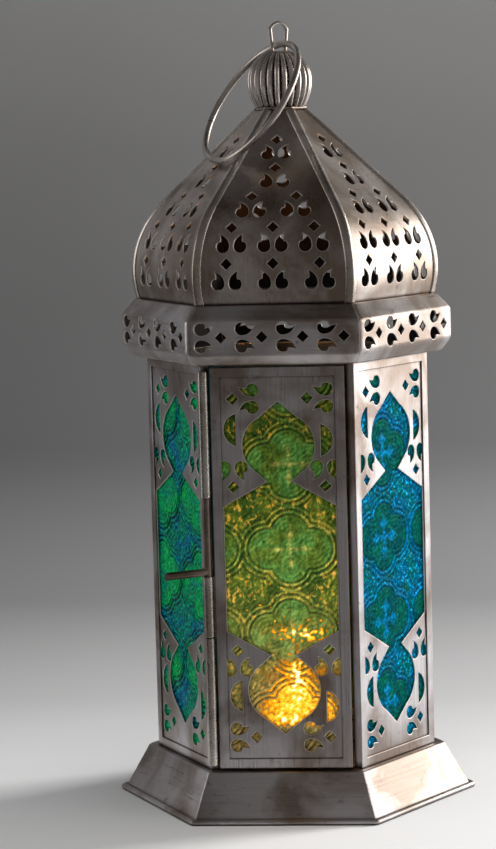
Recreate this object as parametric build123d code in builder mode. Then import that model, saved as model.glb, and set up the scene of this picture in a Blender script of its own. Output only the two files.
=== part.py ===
from build123d import *
import os
from math import acos, asin, cos, degrees, hypot, radians, sin, sqrt, tan

# Hexagonal candle lantern: plinth, six framed fret-and-glass panels, pierced cornice and dome.
# Millimetres. The origin is the middle of the foot, Z is up and the door looks along -Y.
# A hexagon is given by its corner radius, and its flats lie at that radius times cos 30.

# Sheet metal
sheet = 0.6
flange = 0.5
fret_sheet = 0.5
solder_depth = 1.4

# Plinth
rim_corner = 62.5
rim_bead = 2.2
rim_sole = 0.2
plinth_height = 16.2
plinth_top_corner = 52.15
ledge_lap = 3.4
floor_gap = 0.3

# Body and panels
body_corner = 49.3
panel_height = 137.0
panel_border = 3.3
glass = 1.5
pane_clearance = 0.2
door_top_gap = 0.8
door_foot_gap = 0.7
door_hinge_gap = 0.55
door_free_gap = 0.5

# Fret window: drops from the panel's upper edge, and half widths
tip_drop = 11.7
leaf_drop = 17.0
belly_drop = 27.5
waist_drop = 35.2
neck_drop = 38.4
shoulder_drop = 46.7
leaf_half = 6.4
belly_half = 12.0
waist_half = 7.5
neck_half = 3.9
window_margin = 0.4
belly_steps = 6

# One punched motif: a diamond over a mirrored pair of commas
diamond_side = 2.8
diamond_rise = 5.7
comma_offset = 2.85
comma_head = 1.8
comma_drop = 0.9
comma_tip = (1.1, 3.0)
comma_notch = (0.55, 0.75)
head_bearings = (0, -90, -180)
crescent_chord = 10.6
crescent_depth = 4.0
punch_depth = 2.0

# Where the motifs sit on a fret: drops from its upper edge, and offsets from its middle
corner_motif_drop = 10.6
corner_motif_left = -9.3
corner_motif_right = 15.5
neck_motif_drop = 34.4
neck_motif_offset = 15.4
left_crescent_drop = 20.9
right_crescent_drop = 24.7
crescent_offset = 14.2

# Cornice
cornice_corner = 57.4
cornice_lip_corner = 54.0
cornice_curl = 4.2
cornice_face = 10.6
cornice_ease = 1.0
cornice_height = 19.9
cornice_neck_corner = 52.6
cornice_seat = 4.6
cornice_motifs = 4
cornice_pitch = 13.6

# Dome, with radii measured to the flats
dome_height = 63.9
dome_foot = 43.9
dome_hip = 36.0
dome_hip_height = 33.1
dome_crown = 7.5
row_start = 8.7
row_pitch = 12.5
dome_bends = 6
crown_overrun = 1.1
motif_rows = ((3, 15.5), (3, 13.7), (2, 14.9), (1, 0), (1, 0))
rib_width = 2.2
rib_sheet = 0.6

# Finial and hanging eye
plate_corner = 10.2
plate_sheet = 0.8
ball_foot = 8.6
ball_radius = 11.1
ball_crown = 3.5
ball_lower_height = 9.0
ball_upper_height = 9.9
ball_lower_steps = 2
ball_upper_steps = 3
flutes = 24
flute_depth = 0.6
wire_sides = 6
eye_wire = 1.1
eye_span = 4.7
eye_height = 10.3

# Carrying ring, hung in the eye and leaning on the dome
ring_radius = 23.5
ring_wire = 2.2
ring_clearance = 0.35
ring_lean = 34.3
ring_bearing = -146.9
ring_shift = 3.7
ring_slit = 0.3
ring_slit_bearing = 200.0

# Door hinge: three barrels on one lift-out pin with a bent handle
barrel_radius = 1.7
pin_radius = 1.3
pin_fit = 0.06
leaf_sheet = 0.5
leaf_width = 2.4
barrel_foot_gap = 1.9
lower_barrel_length = 43.4
barrel_joint = 0.4
door_barrel_length = 20.4
pin_gap = 26.7
barrel_head_gap = 2.1
pin_foot_reach = 0.6
pin_head_reach = 15.0
handle_length = 15.5
handle_bearing = -147.0
handle_bend = 1.7
handle_turn = 90.0
handle_lift = 0.3

# Candle and its cup
cup_radius = 20.4
cup_height = 6.0
cup_sheet = 0.5
cup_pleats = 30
tealight_radius = 19.0
tealight_height = 15.0
tealight_sheet = 0.4
seat_gap = 0.2
wax_height = 11.5
wick_radius = 0.6
wick_fit = 0.05
wick_height = 17.0

# Levels and widths that follow from the sizes above
half_side = radians(30)
flat = cos(half_side)
mitre = tan(half_side)
reach = 2 * rim_corner
body_flat = body_corner * flat
panel_depth = 2 * flange + fret_sheet + glass
panel_inset = panel_depth * mitre
panel_width = body_corner - 2 * panel_inset
panel_top = plinth_height + panel_height
panel_level = plinth_height + panel_height / 2
door_width = panel_width - door_hinge_gap - door_free_gap
door_middle = (door_hinge_gap - door_free_gap) / 2
door_height = panel_height - door_top_gap - door_foot_gap
door_level = plinth_height + door_foot_gap + door_height / 2
cornice_top = panel_top + cornice_height
dome_top = cornice_top + dome_height
ball_base = dome_top + plate_sheet
ball_waist = ball_base + ball_lower_height
ball_top = ball_waist + ball_upper_height
floor_top = plinth_height + sheet

# Outwards-and-up section of the front side; the front view is the XZ plane
front_section = Plane(origin=(0, 0, 0), x_dir=(0, -1, 0), z_dir=(-1, 0, 0))
fixed_sides = {"front_right": 60, "back_right": 120, "back": 180, "back_left": 240, "front_left": 300}
corner_turns = {"front_right": 0, "right": 60, "back_right": 120}
corner_turns |= {"back_left": 180, "left": 240, "front_left": 300}


def save(part, name):
    """Label one finished piece and write it to its own file."""
    part.label = name
    export_step(part, f"parts/{name}.step")


def turned(part, angle):
    """Give a copy of a front piece turned about the lantern's axis."""
    return Rotation(0, 0, angle) * part


def mitred_side(section, low, high):
    """Run an upright section along the front side and cut it at the two corner planes."""
    with BuildPart() as side:
        extrude(section, amount=reach, both=True)
        with BuildSketch(Plane.XY.offset(low)):
            Polygon((0, 0), (-reach * mitre, -reach), (reach * mitre, -reach), align=None)
        extrude(amount=high - low, mode=Mode.INTERSECT)
    return side.part


def six_sides(side):
    """Join six turned copies of one mitred side into a closed band."""
    with BuildPart() as band:
        with PolarLocations(0, 6):
            add(side)
    return band.part


def eased(points, setback):
    """Break each inner corner of an open outline with a short flat."""
    outline = [points[0]]
    for before, corner, after in zip(points, points[1:], points[2:]):
        for end in (before, after):
            run = hypot(end[0] - corner[0], end[1] - corner[1])
            outline.append(tuple(c + (e - c) * setback / run for c, e in zip(corner, end)))
    return outline + [points[-1]]


def hex_plate(corner, low, thickness):
    """Cut a flat hexagonal plate that lies on the given level."""
    with BuildPart() as plate:
        with BuildSketch(Plane.XY.offset(low)):
            RegularPolygon(corner, 6)
        extrude(amount=thickness)
    return plate.part


os.makedirs("parts", exist_ok=True)

# The punched motif, drawn once for the frets, the cornice and the dome
with BuildSketch() as motif:
    with BuildLine():
        bearings = [radians(bearing) for bearing in head_bearings]
        head = [(comma_head * cos(a), comma_head * sin(a) - comma_drop) for a in bearings]
        Polyline(*[(comma_offset + x, y) for x, y in (comma_notch, *head, comma_tip)], close=True)
    make_face()
    mirror(about=Plane.YZ)
    with Locations((0, diamond_rise)):
        Rectangle(diamond_side, diamond_side, rotation=45)

# Half-moon hole: its straight side on the Y axis, its round side towards -X
with BuildSketch() as crescent:
    with BuildLine():
        moon_radius = (crescent_chord**2 / 4 + crescent_depth**2) / (2 * crescent_depth)
        moon_half = asin(crescent_chord / 2 / moon_radius)
        bow = [k * moon_half / 2 for k in (-2, -1, 0, 1, 2)]
        Polyline(*[(moon_radius * (cos(moon_half) - cos(a)), moon_radius * sin(a)) for a in bow], close=True)
    make_face()


def fret_holes(width, height):
    """Draw the fret's window and its punched motifs about the panel's middle."""
    top = height / 2
    window_half = width / 2 - panel_border - window_margin
    motifs = [
        (corner_motif_left, top - corner_motif_drop, 90),
        (corner_motif_right, top - corner_motif_drop, 90),
        (-neck_motif_offset, top - neck_motif_drop, 180),
        (neck_motif_offset, top - neck_motif_drop, 180),
    ]
    moons = [
        (-crescent_offset, top - left_crescent_drop, 0),
        (crescent_offset, top - right_crescent_drop, 180),
    ]
    with BuildSketch() as holes:
        with BuildLine():
            belly = ThreePointArc(
                (leaf_half, top - leaf_drop),
                (belly_half, top - belly_drop),
                (waist_half, top - waist_drop),
                mode=Mode.PRIVATE,
            )
            Polyline(
                (0, 0),
                (0, top - tip_drop),
                *[belly @ (k / belly_steps) for k in range(belly_steps + 1)],
                (neck_half, top - neck_drop),
                (window_half, top - shoulder_drop),
                (window_half, 0),
                close=True,
            )
        make_face()
        mirror(about=Plane.YZ)
        mirror(about=Plane.XZ)
        for shape, places in ((motif.sketch, motifs), (crescent.sketch, moons)):
            for x, y, turn in places:
                with Locations(Location((x, y, 0), (0, 0, turn)), Location((-x, -y, 0), (0, 0, turn + 180))):
                    add(shape)
    return holes.sketch


def panel_frame(width, height, middle, level):
    """Fold a channel frame round one panel: front flange, web and back flange."""
    with BuildPart() as frame:
        with BuildSketch(Plane.XZ.offset(body_flat)):
            with Locations((middle, level)):
                Rectangle(width, height)
                Rectangle(width - 2 * panel_border, height - 2 * panel_border, mode=Mode.SUBTRACT)
        extrude(amount=-panel_depth)
        with BuildSketch(Plane.XZ.offset(body_flat - flange)):
            with Locations((middle, level)):
                Rectangle(width - 2 * flange, height - 2 * flange)
        extrude(amount=-(panel_depth - 2 * flange), mode=Mode.SUBTRACT)
    return frame.part


def panel_fret(width, height, middle, level):
    """Punch the fret sheet that lies behind the front flange."""
    rim = 2 * (flange + pane_clearance)
    with BuildPart() as fret:
        with BuildSketch(Plane.XZ.offset(body_flat - flange)):
            with Locations((middle, level)):
                Rectangle(width - rim, height - rim)
                add(fret_holes(width, height), mode=Mode.SUBTRACT)
        extrude(amount=-fret_sheet)
    return fret.part


def panel_pane(width, height, middle, level):
    """Cut the pressed-glass pane that lies between the fret and the back flange."""
    rim = 2 * (flange + pane_clearance)
    with BuildPart() as pane:
        with BuildSketch(Plane.XZ.offset(body_flat - flange - fret_sheet)):
            with Locations((middle, level)):
                Rectangle(width - rim, height - rim)
        extrude(amount=-glass)
    return pane.part


# Plinth: a sloped skirt with a rolled rim and a turned-in ledge that the panels stand on
bead_flat = rim_corner * flat - rim_bead / 2
bead_level = rim_bead / 2 - rim_sole
ledge_outer = plinth_top_corner * flat
floor_flat = body_flat - panel_depth - floor_gap
with BuildSketch(front_section) as skirt_section:
    with BuildLine():
        skirt_top = (ledge_outer, plinth_height)
        Polyline((bead_flat, bead_level), skirt_top, (floor_flat - ledge_lap, plinth_height))
        offset(amount=sheet, side=Side.LEFT)
    make_face()
    with Locations((bead_flat, bead_level)):
        Circle(rim_bead / 2)
save(six_sides(mitred_side(skirt_section.sketch, 0, plinth_height)), "base_skirt")
save(hex_plate(floor_flat / flat, plinth_height, sheet), "base_floor")

# Five fixed panels and the door, each a frame, a fret and a pane
fixed_sizes = (panel_width, panel_height, 0, panel_level)
door_sizes = (door_width, door_height, door_middle, door_level)
for piece, make in (("frame", panel_frame), ("fret", panel_fret), ("pane", panel_pane)):
    front_piece = make(*fixed_sizes)
    for side, turn in fixed_sides.items():
        save(turned(front_piece, turn), f"{piece}_{side}")
    save(make(*door_sizes), f"door_{piece}")

# Solder that fills the foot of the groove between two fixed frames
groove = (body_flat - panel_depth) / flat
with BuildPart() as corner_solder:
    with BuildSketch(Plane.XY.offset(plinth_height)):
        Polygon(
            (groove, 0),
            (groove + solder_depth, -solder_depth * mitre),
            (groove + solder_depth, solder_depth * mitre),
            align=None,
        )
    extrude(amount=panel_height)
for corner in ("right", "back_right", "back_left", "left"):
    save(turned(corner_solder.part, corner_turns[corner] - corner_turns["right"]), f"solder_{corner}")

# Hinge barrels on the front left corner line
hinge_x = -body_corner / 2
hinge_y = -body_flat
lower_barrel_base = plinth_height + barrel_foot_gap
door_barrel_base = lower_barrel_base + lower_barrel_length + barrel_joint
door_barrel_top = door_barrel_base + door_barrel_length
upper_barrel_base = door_barrel_top + pin_gap
upper_barrel_length = panel_top - barrel_head_gap - upper_barrel_base


def hinge_barrel(base, length, inward, web_side, leaf):
    """Roll a barrel whose leaf runs inwards on a panel's web."""
    with BuildPart() as barrel:
        with BuildSketch(Plane(origin=(hinge_x, hinge_y, base), x_dir=inward, z_dir=(0, 0, 1))):
            Circle(barrel_radius)
            with Locations((0, web_side)):
                Rectangle(leaf_width, leaf, align=(Align.MIN, Align.MAX if web_side > 0 else Align.MIN))
            Circle(pin_radius + pin_fit, mode=Mode.SUBTRACT)
        extrude(amount=length)
    return barrel.part


panel_inward = (cos(half_side), sin(half_side), 0)
door_leaf = leaf_sheet + door_hinge_gap
door_web = -(panel_inset + door_hinge_gap)
on_panel = (panel_inward, panel_inset, leaf_sheet)
on_door = ((0, 1, 0), door_web, door_leaf)
save(hinge_barrel(lower_barrel_base, lower_barrel_length, *on_panel), "lower_barrel")
save(hinge_barrel(upper_barrel_base, upper_barrel_length, *on_panel), "upper_barrel")
save(hinge_barrel(door_barrel_base, door_barrel_length, *on_door), "door_barrel")

# Lift-out hinge pin: a straight rod with its handle bent out above the door's barrel
pin_foot = door_barrel_base - barrel_joint - pin_foot_reach
pin_head = upper_barrel_base + pin_head_reach
handle_level = door_barrel_top + handle_lift + pin_radius
handle_out = (cos(radians(handle_bearing)), sin(radians(handle_bearing)), 0)
handle_side = (handle_out[1], -handle_out[0], 0)
with BuildPart() as hinge_pin:
    with BuildSketch(Plane.XY.offset(pin_foot)):
        with Locations((hinge_x, hinge_y)):
            Circle(pin_radius)
    extrude(amount=pin_head - pin_foot)
    handle_foot = (hinge_x, hinge_y, handle_level)
    with BuildLine(Plane(origin=handle_foot, x_dir=handle_out, z_dir=handle_side)) as arm:
        bend = JernArc(start=(0, handle_bend), tangent=(0, -1), radius=handle_bend, arc_size=handle_turn)
        Line(bend @ 1, (handle_length, 0))
    with BuildSketch(Plane(origin=(hinge_x, hinge_y, handle_level + handle_bend), z_dir=(0, 0, -1))):
        RegularPolygon(pin_radius, wire_sides)
    sweep(path=arm.line)
save(hinge_pin.part, "hinge_pin")

# Cornice: a hollow hexagonal band, curled under at the foot and sloped in at the neck
face_flat = cornice_corner * flat
lip_flat = cornice_lip_corner * flat
neck_flat = cornice_neck_corner * flat
curl_top = panel_top + cornice_curl
face_top = curl_top + cornice_face
with BuildSketch(front_section) as cornice_section:
    with BuildLine():
        cornice_folds = [
            (body_flat - panel_depth, panel_top),
            (lip_flat, panel_top),
            (face_flat, curl_top),
            (face_flat, face_top),
            (neck_flat, cornice_top),
            (neck_flat - cornice_seat, cornice_top),
        ]
        Polyline(*eased(cornice_folds, cornice_ease))
        offset(amount=sheet, kind=Kind.INTERSECTION, side=Side.LEFT)
    make_face()
with BuildPart() as cornice_side:
    add(mitred_side(cornice_section.sketch, panel_top, cornice_top))
    with BuildSketch(Plane.XZ.offset(face_flat)):
        first = -cornice_pitch * (cornice_motifs - 1) / 2 - diamond_rise / 2
        middle = (curl_top + face_top) / 2
        for i in range(cornice_motifs):
            with Locations(Location((first + i * cornice_pitch, middle, 0), (0, 0, -90))):
                add(motif.sketch)
    extrude(amount=punch_depth, both=True, mode=Mode.SUBTRACT)
save(six_sides(cornice_side.part), "cornice_band")

# Dome: six pierced gores, bent in narrow steps along an arc that runs into a straight slope
foot = (dome_foot, cornice_top - sheet)
hip = (dome_hip, cornice_top + dome_hip_height)
slope = (dome_crown - dome_hip, dome_height - dome_hip_height)
crown = (hip[0] + crown_overrun * slope[0], hip[1] + crown_overrun * slope[1])
with BuildLine():
    slope_line = Line(crown, hip)
    bulge = TangentArc(hip, foot, tangent=slope_line % 1)
bulge_points = [bulge @ (k / dome_bends) for k in range(dome_bends + 1)]
dome_points = [crown] + [(point.X, point.Y) for point in bulge_points]
with BuildLine(front_section) as dome_profile:
    Polyline(*dome_points)


def dome_section(thickness, side):
    """Thicken the dome's profile to one side of its outer face."""
    with BuildSketch(front_section) as section:
        with BuildLine():
            Polyline(*dome_points)
            offset(amount=thickness, kind=Kind.INTERSECTION, side=side)
        make_face()
    return section.sketch


with BuildPart() as gore:
    add(mitred_side(dome_section(sheet, Side.RIGHT), cornice_top, dome_top))
    for row, (count, spacing) in enumerate(motif_rows):
        along = dome_profile.wire().length - row_start - row * row_pitch - diamond_rise / 2
        spot = dome_profile.wire().position_at(along, position_mode=PositionMode.LENGTH)
        fall = dome_profile.wire().tangent_at(along, position_mode=PositionMode.LENGTH)
        with BuildSketch(Plane(origin=spot, x_dir=(1, 0, 0), z_dir=(0, fall.Z, -fall.Y))):
            with Locations((0, -diamond_rise / 2)):
                with GridLocations(spacing, 1, count, 1):
                    add(motif.sketch)
        extrude(amount=punch_depth, both=True, mode=Mode.SUBTRACT)
save(gore.part, "gore_front")
for side, turn in fixed_sides.items():
    save(turned(gore.part, turn), f"gore_{side}")

# Seam strips folded over the corners between the gores
corner_plane = Plane(origin=(0, 0, 0), z_dir=(cos(half_side), sin(half_side), 0))
with BuildPart() as rib:
    add(mitred_side(dome_section(rib_sheet, Side.LEFT), cornice_top, dome_top))
    with BuildSketch(Plane.XY.offset(cornice_top)):
        narrow = reach * mitre - rib_width
        Polygon((0, -rib_width / mitre), (-narrow, -reach), (narrow, -reach), align=None)
    extrude(amount=dome_height, mode=Mode.SUBTRACT)
    split(bisect_by=Plane.YZ)
    mirror(about=corner_plane)
for corner, turn in corner_turns.items():
    save(turned(rib.part, turn), f"rib_{corner}")

# Finial: a plate that closes the gores, and a fluted ball on it
save(hex_plate(plate_corner, dome_top, plate_sheet), "crown_plate")
foot_angle = acos(ball_foot / ball_radius)
crown_angle = acos(ball_crown / ball_radius)
lower = [foot_angle * (k / ball_lower_steps - 1) for k in range(ball_lower_steps)]
upper = [crown_angle * k / ball_upper_steps for k in range(ball_upper_steps + 1)]


def ball_level(angle):
    """Height of the ball's section whose radius is the waist's times the cosine of the angle."""
    if angle < 0:
        return ball_waist + ball_lower_height * sin(angle) / sin(foot_angle)
    return ball_waist + ball_upper_height * sin(angle) / sin(crown_angle)


def flat_sided(part):
    """Rebuild a lofted solid with every side as a true plane."""
    loops = [face.outer_wire().order_edges() for face in part.faces()]
    return Solid(Shell([Face(Wire.make_polygon([edge @ 0 for edge in loop])) for loop in loops]))


with BuildPart() as finial_ball:
    for angle in (*lower, *upper):
        ridge = ball_radius * cos(angle)
        valley = ridge * (1 - flute_depth / ball_radius)
        with BuildSketch(Plane.XY.offset(ball_level(angle))):
            turns = [radians(180 * k / flutes) for k in range(2 * flutes)]
            radii = [ridge, valley] * flutes
            Polygon(*[(r * cos(a), r * sin(a)) for r, a in zip(radii, turns)], align=None)
    loft(ruled=True)
save(flat_sided(finial_ball.part), "finial_ball")

# Hanging eye: a wire bow that stands on the ball's crown, square to the ring
lean_out = (cos(radians(ring_bearing)), sin(radians(ring_bearing)), 0)
eye_side = (lean_out[1], -lean_out[0], 0)
ring_along = (-lean_out[1], lean_out[0], 0)
eye_leg = eye_height - eye_wire / 2 - eye_span / 2
with BuildPart() as hanger_eye:
    with BuildLine(Plane(origin=(0, 0, ball_top), x_dir=lean_out, z_dir=eye_side)) as eye_line:
        near_leg = Line((-eye_span / 2, 0), (-eye_span / 2, eye_leg))
        eye_bow = ThreePointArc(near_leg @ 1, (0, eye_leg + eye_span / 2), (eye_span / 2, eye_leg))
        Line(eye_bow @ 1, (eye_span / 2, 0))
    with BuildSketch(Plane(origin=eye_line.line @ 0, z_dir=(0, 0, 1))):
        RegularPolygon(eye_wire / 2, wire_sides)
    sweep(path=eye_line.line)
save(hanger_eye.part, "hanger_eye")

# Carrying ring: it runs through the eye just over the crown and leans to the front left
hang = sqrt(ring_radius**2 - ring_shift**2)
crown_drop = (hang - sqrt(ring_radius**2 - (ring_shift + ball_crown) ** 2)) * cos(radians(ring_lean))
ring_level = ball_top + ring_clearance + ring_wire / 2 + crown_drop
out = hang * sin(radians(ring_lean))
down = hang * cos(radians(ring_lean))
ring_middle = (
    ring_shift * ring_along[0] + out * lean_out[0],
    ring_shift * ring_along[1] + out * lean_out[1],
    ring_level - down,
)
ring_normal = (
    cos(radians(ring_lean)) * lean_out[0],
    cos(radians(ring_lean)) * lean_out[1],
    sin(radians(ring_lean)),
)
ring_plane = Plane(origin=ring_middle, x_dir=ring_along, z_dir=ring_normal)
slit = radians(ring_slit_bearing)
slit_out = ring_plane.x_dir * cos(slit) + ring_plane.y_dir * sin(slit)
with BuildPart() as carry_ring:
    with BuildSketch(Plane(origin=ring_middle, x_dir=slit_out, z_dir=slit_out.cross(ring_plane.z_dir))):
        with Locations((ring_radius, 0)):
            RegularPolygon(ring_wire / 2, wire_sides)
    revolve(axis=Axis(ring_middle, ring_normal), revolution_arc=360 - degrees(ring_slit / ring_radius))
save(carry_ring.part, "carry_ring")

# Candle cup on the floor, and the tea light that stands in it
with BuildPart() as candle_cup:
    with BuildSketch(Plane.XY.offset(floor_top)):
        RegularPolygon(cup_radius, cup_pleats)
    extrude(amount=cup_height)
    with BuildSketch(Plane.XY.offset(floor_top + cup_sheet)):
        RegularPolygon(cup_radius - cup_sheet, cup_pleats)
    extrude(amount=cup_height, mode=Mode.SUBTRACT)
save(candle_cup.part, "candle_cup")

tealight_base = floor_top + cup_sheet + seat_gap
wax_base = tealight_base + tealight_sheet
with BuildPart() as tealight_cup:
    with BuildSketch(Plane.XY.offset(tealight_base)):
        RegularPolygon(tealight_radius, cup_pleats)
    extrude(amount=tealight_height)
    with BuildSketch(Plane.XY.offset(wax_base)):
        RegularPolygon(tealight_radius - tealight_sheet, cup_pleats)
    extrude(amount=tealight_height, mode=Mode.SUBTRACT)
save(tealight_cup.part, "tealight_cup")

with BuildPart() as tealight_wax:
    with BuildSketch(Plane.XY.offset(wax_base)):
        RegularPolygon(tealight_radius - tealight_sheet - wick_fit, cup_pleats)
        Circle(wick_radius + wick_fit, mode=Mode.SUBTRACT)
    extrude(amount=wax_height)
save(tealight_wax.part, "tealight_wax")

with BuildPart() as tealight_wick:
    with BuildSketch(Plane.XY.offset(wax_base)):
        Circle(wick_radius)
    extrude(amount=wick_height)
save(tealight_wick.part, "tealight_wick")
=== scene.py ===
"""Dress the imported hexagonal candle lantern: pierced tin, pressed glass, candle light and camera."""

import logging
from dataclasses import dataclass, field
from enum import Enum
from math import acos, asin, atan2, ceil, cos, exp, floor, hypot, pi, radians, sin, sqrt, tan

import bmesh
import bpy
from bmesh.types import BMEdge, BMesh, BMVert
from bpy.types import ID, Material, Mesh, Node, NodeSocket, NodeTree, Object
from mathutils import Matrix, Vector, noise


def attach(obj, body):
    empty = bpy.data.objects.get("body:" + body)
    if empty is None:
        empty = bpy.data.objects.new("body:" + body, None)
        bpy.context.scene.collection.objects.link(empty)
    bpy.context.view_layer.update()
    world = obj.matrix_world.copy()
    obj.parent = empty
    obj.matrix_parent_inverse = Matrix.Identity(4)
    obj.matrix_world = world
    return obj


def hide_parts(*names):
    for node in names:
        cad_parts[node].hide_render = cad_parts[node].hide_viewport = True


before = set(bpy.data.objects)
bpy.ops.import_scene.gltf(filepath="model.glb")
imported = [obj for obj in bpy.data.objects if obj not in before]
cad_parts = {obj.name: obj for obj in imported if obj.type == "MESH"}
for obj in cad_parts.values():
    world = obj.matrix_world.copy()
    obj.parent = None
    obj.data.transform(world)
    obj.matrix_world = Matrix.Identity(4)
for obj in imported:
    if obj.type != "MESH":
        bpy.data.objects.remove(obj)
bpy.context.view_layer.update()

LOG = logging.getLogger("lantern")
MM = 0.001
# Points of a mesh that lie closer than this, in mm, become one.
MERGE = 1e-4
# A face of a flat sheet belongs to its front or back when its normal's Z passes this.
FACING = 0.95
# Angles in degrees past which an edge stays sharp: on folded sheet, and on wire and rolled strips.
SHEET_CREASE = 15.0
ROUND_CREASE = 40.0
# Degrees from the middle of a side to its right-hand corner.
CORNER_TURN = 30
HALF_SIDE = radians(CORNER_TURN)
FLAT = cos(HALF_SIDE)
MITRE = tan(HALF_SIDE)
SIDE_TURNS = {"front_right": 60, "back_right": 120, "back": 180, "back_left": 240, "front_left": 300}
CORNER_TURNS = {"front_right": 0, "right": 60, "back_right": 120,
                "back_left": 180, "left": 240, "front_left": 300}
PRESSED_MARKS = ("lobe", "groove", "line", "cross")
PANE_MARKS = (*PRESSED_MARKS, "tilt", "glow", "warm", "inner")
# Settings of a node that mixes two colours, and of one that multiplies them.
BLEND = {"data_type": "RGBA"}
TINT = {**BLEND, "blend_type": "MULTIPLY", 0: 1.0}
PRODUCT = {"operation": "MULTIPLY"}
Point = tuple[float, float]
Place = tuple[float, float, float]
Quad = tuple[float, float, float, float]
Loop = list[Point]
Tones = tuple[tuple[float, str], ...]


def linear(code: str) -> Quad:
    """Turn an sRGB hex colour into the linear colour that shaders use.

    Args:
        code: Colour as "#rrggbb".

    Returns:
        Linear red, green, blue and an alpha of 1.
    """
    values = [int(code[i:i + 2], 16) / 255 for i in (1, 3, 5)]
    red, green, blue = [v / 12.92 if v <= 0.04045 else ((v + 0.055) / 1.055) ** 2.4 for v in values]
    return red, green, blue, 1.0


def linear_stops(tones: Tones) -> list[tuple[float, Quad]]:
    """Turn a row of tones into the stops of a colour ramp.

    Args:
        tones: Place from 0 to 1 and sRGB hex colour of each tone.

    Returns:
        Place and linear colour of each tone.
    """
    return [(place, linear(code)) for place, code in tones]


def span(side: str, ends: Point) -> dict[str, float]:
    """Settings of one side of a mapped range, From or To, with its two ends."""
    return {f"{side} Min": ends[0], f"{side} Max": ends[1]}


def feed(node: Node, links: dict) -> None:
    """Link a node's inputs.

    Args:
        node: Node that is fed.
        links: Input of the node, and the output socket that feeds it, or the node whose first output does.
    """
    for key, source in links.items():
        if not isinstance(source, NodeSocket):
            source = next(socket for socket in source.outputs if socket.enabled)
        node.id_data.links.new(source, node.inputs[key])


def add_node(tree: NodeTree, kind: str, settings: dict | None = None, links: dict | None = None) -> Node:
    """Add one shader node with its settings and links.

    Args:
        tree: Node tree that takes the node.
        kind: Node type without its ShaderNode prefix.
        settings: Attribute, input or colour stops of the node, and the value for each.
        links: Input of the node, and what feeds it.

    Returns:
        The new node.
    """
    node = tree.nodes.new(f"ShaderNode{kind}")
    for key, value in (settings or {}).items():
        if key == "stops":
            elements = node.color_ramp.elements
            while len(elements) < len(value):
                elements.new(1.0)
            for element, (place, colour) in zip(elements, value):
                element.position = place
                element.color = colour
        elif isinstance(key, str) and hasattr(node, key):
            setattr(node, key, value)
        else:
            node.inputs[key].default_value = value
    feed(node, links or {})
    return node


def new_material(name: str, settings: dict | None = None) -> tuple[Material, NodeTree, Node]:
    """Start a material that holds only its surface shader and output.

    Args:
        name: Name of the finish.
        settings: Inputs of the surface shader, and the value for each.

    Returns:
        The material, its node tree and its surface shader.
    """
    material = bpy.data.materials.new(name)
    material.use_nodes = True
    tree = material.node_tree
    tree.nodes.clear()
    shader = add_node(tree, "BsdfPrincipled", settings)
    add_node(tree, "OutputMaterial", links={"Surface": shader})
    return material, tree, shader


class Grain(Enum):
    """Which way the wire brush ran over a sheet: how far its lines stretch along X, Y and Z, in mm."""

    # Real brush lines are about 0.1 mm wide. These are drawn coarser, so that they show in a render.
    UPRIGHT = (0.55, 0.55, 28.0)
    LEVEL = (28.0, 28.0, 0.55)
    LOOSE = (4.0, 4.0, 4.0)


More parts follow.
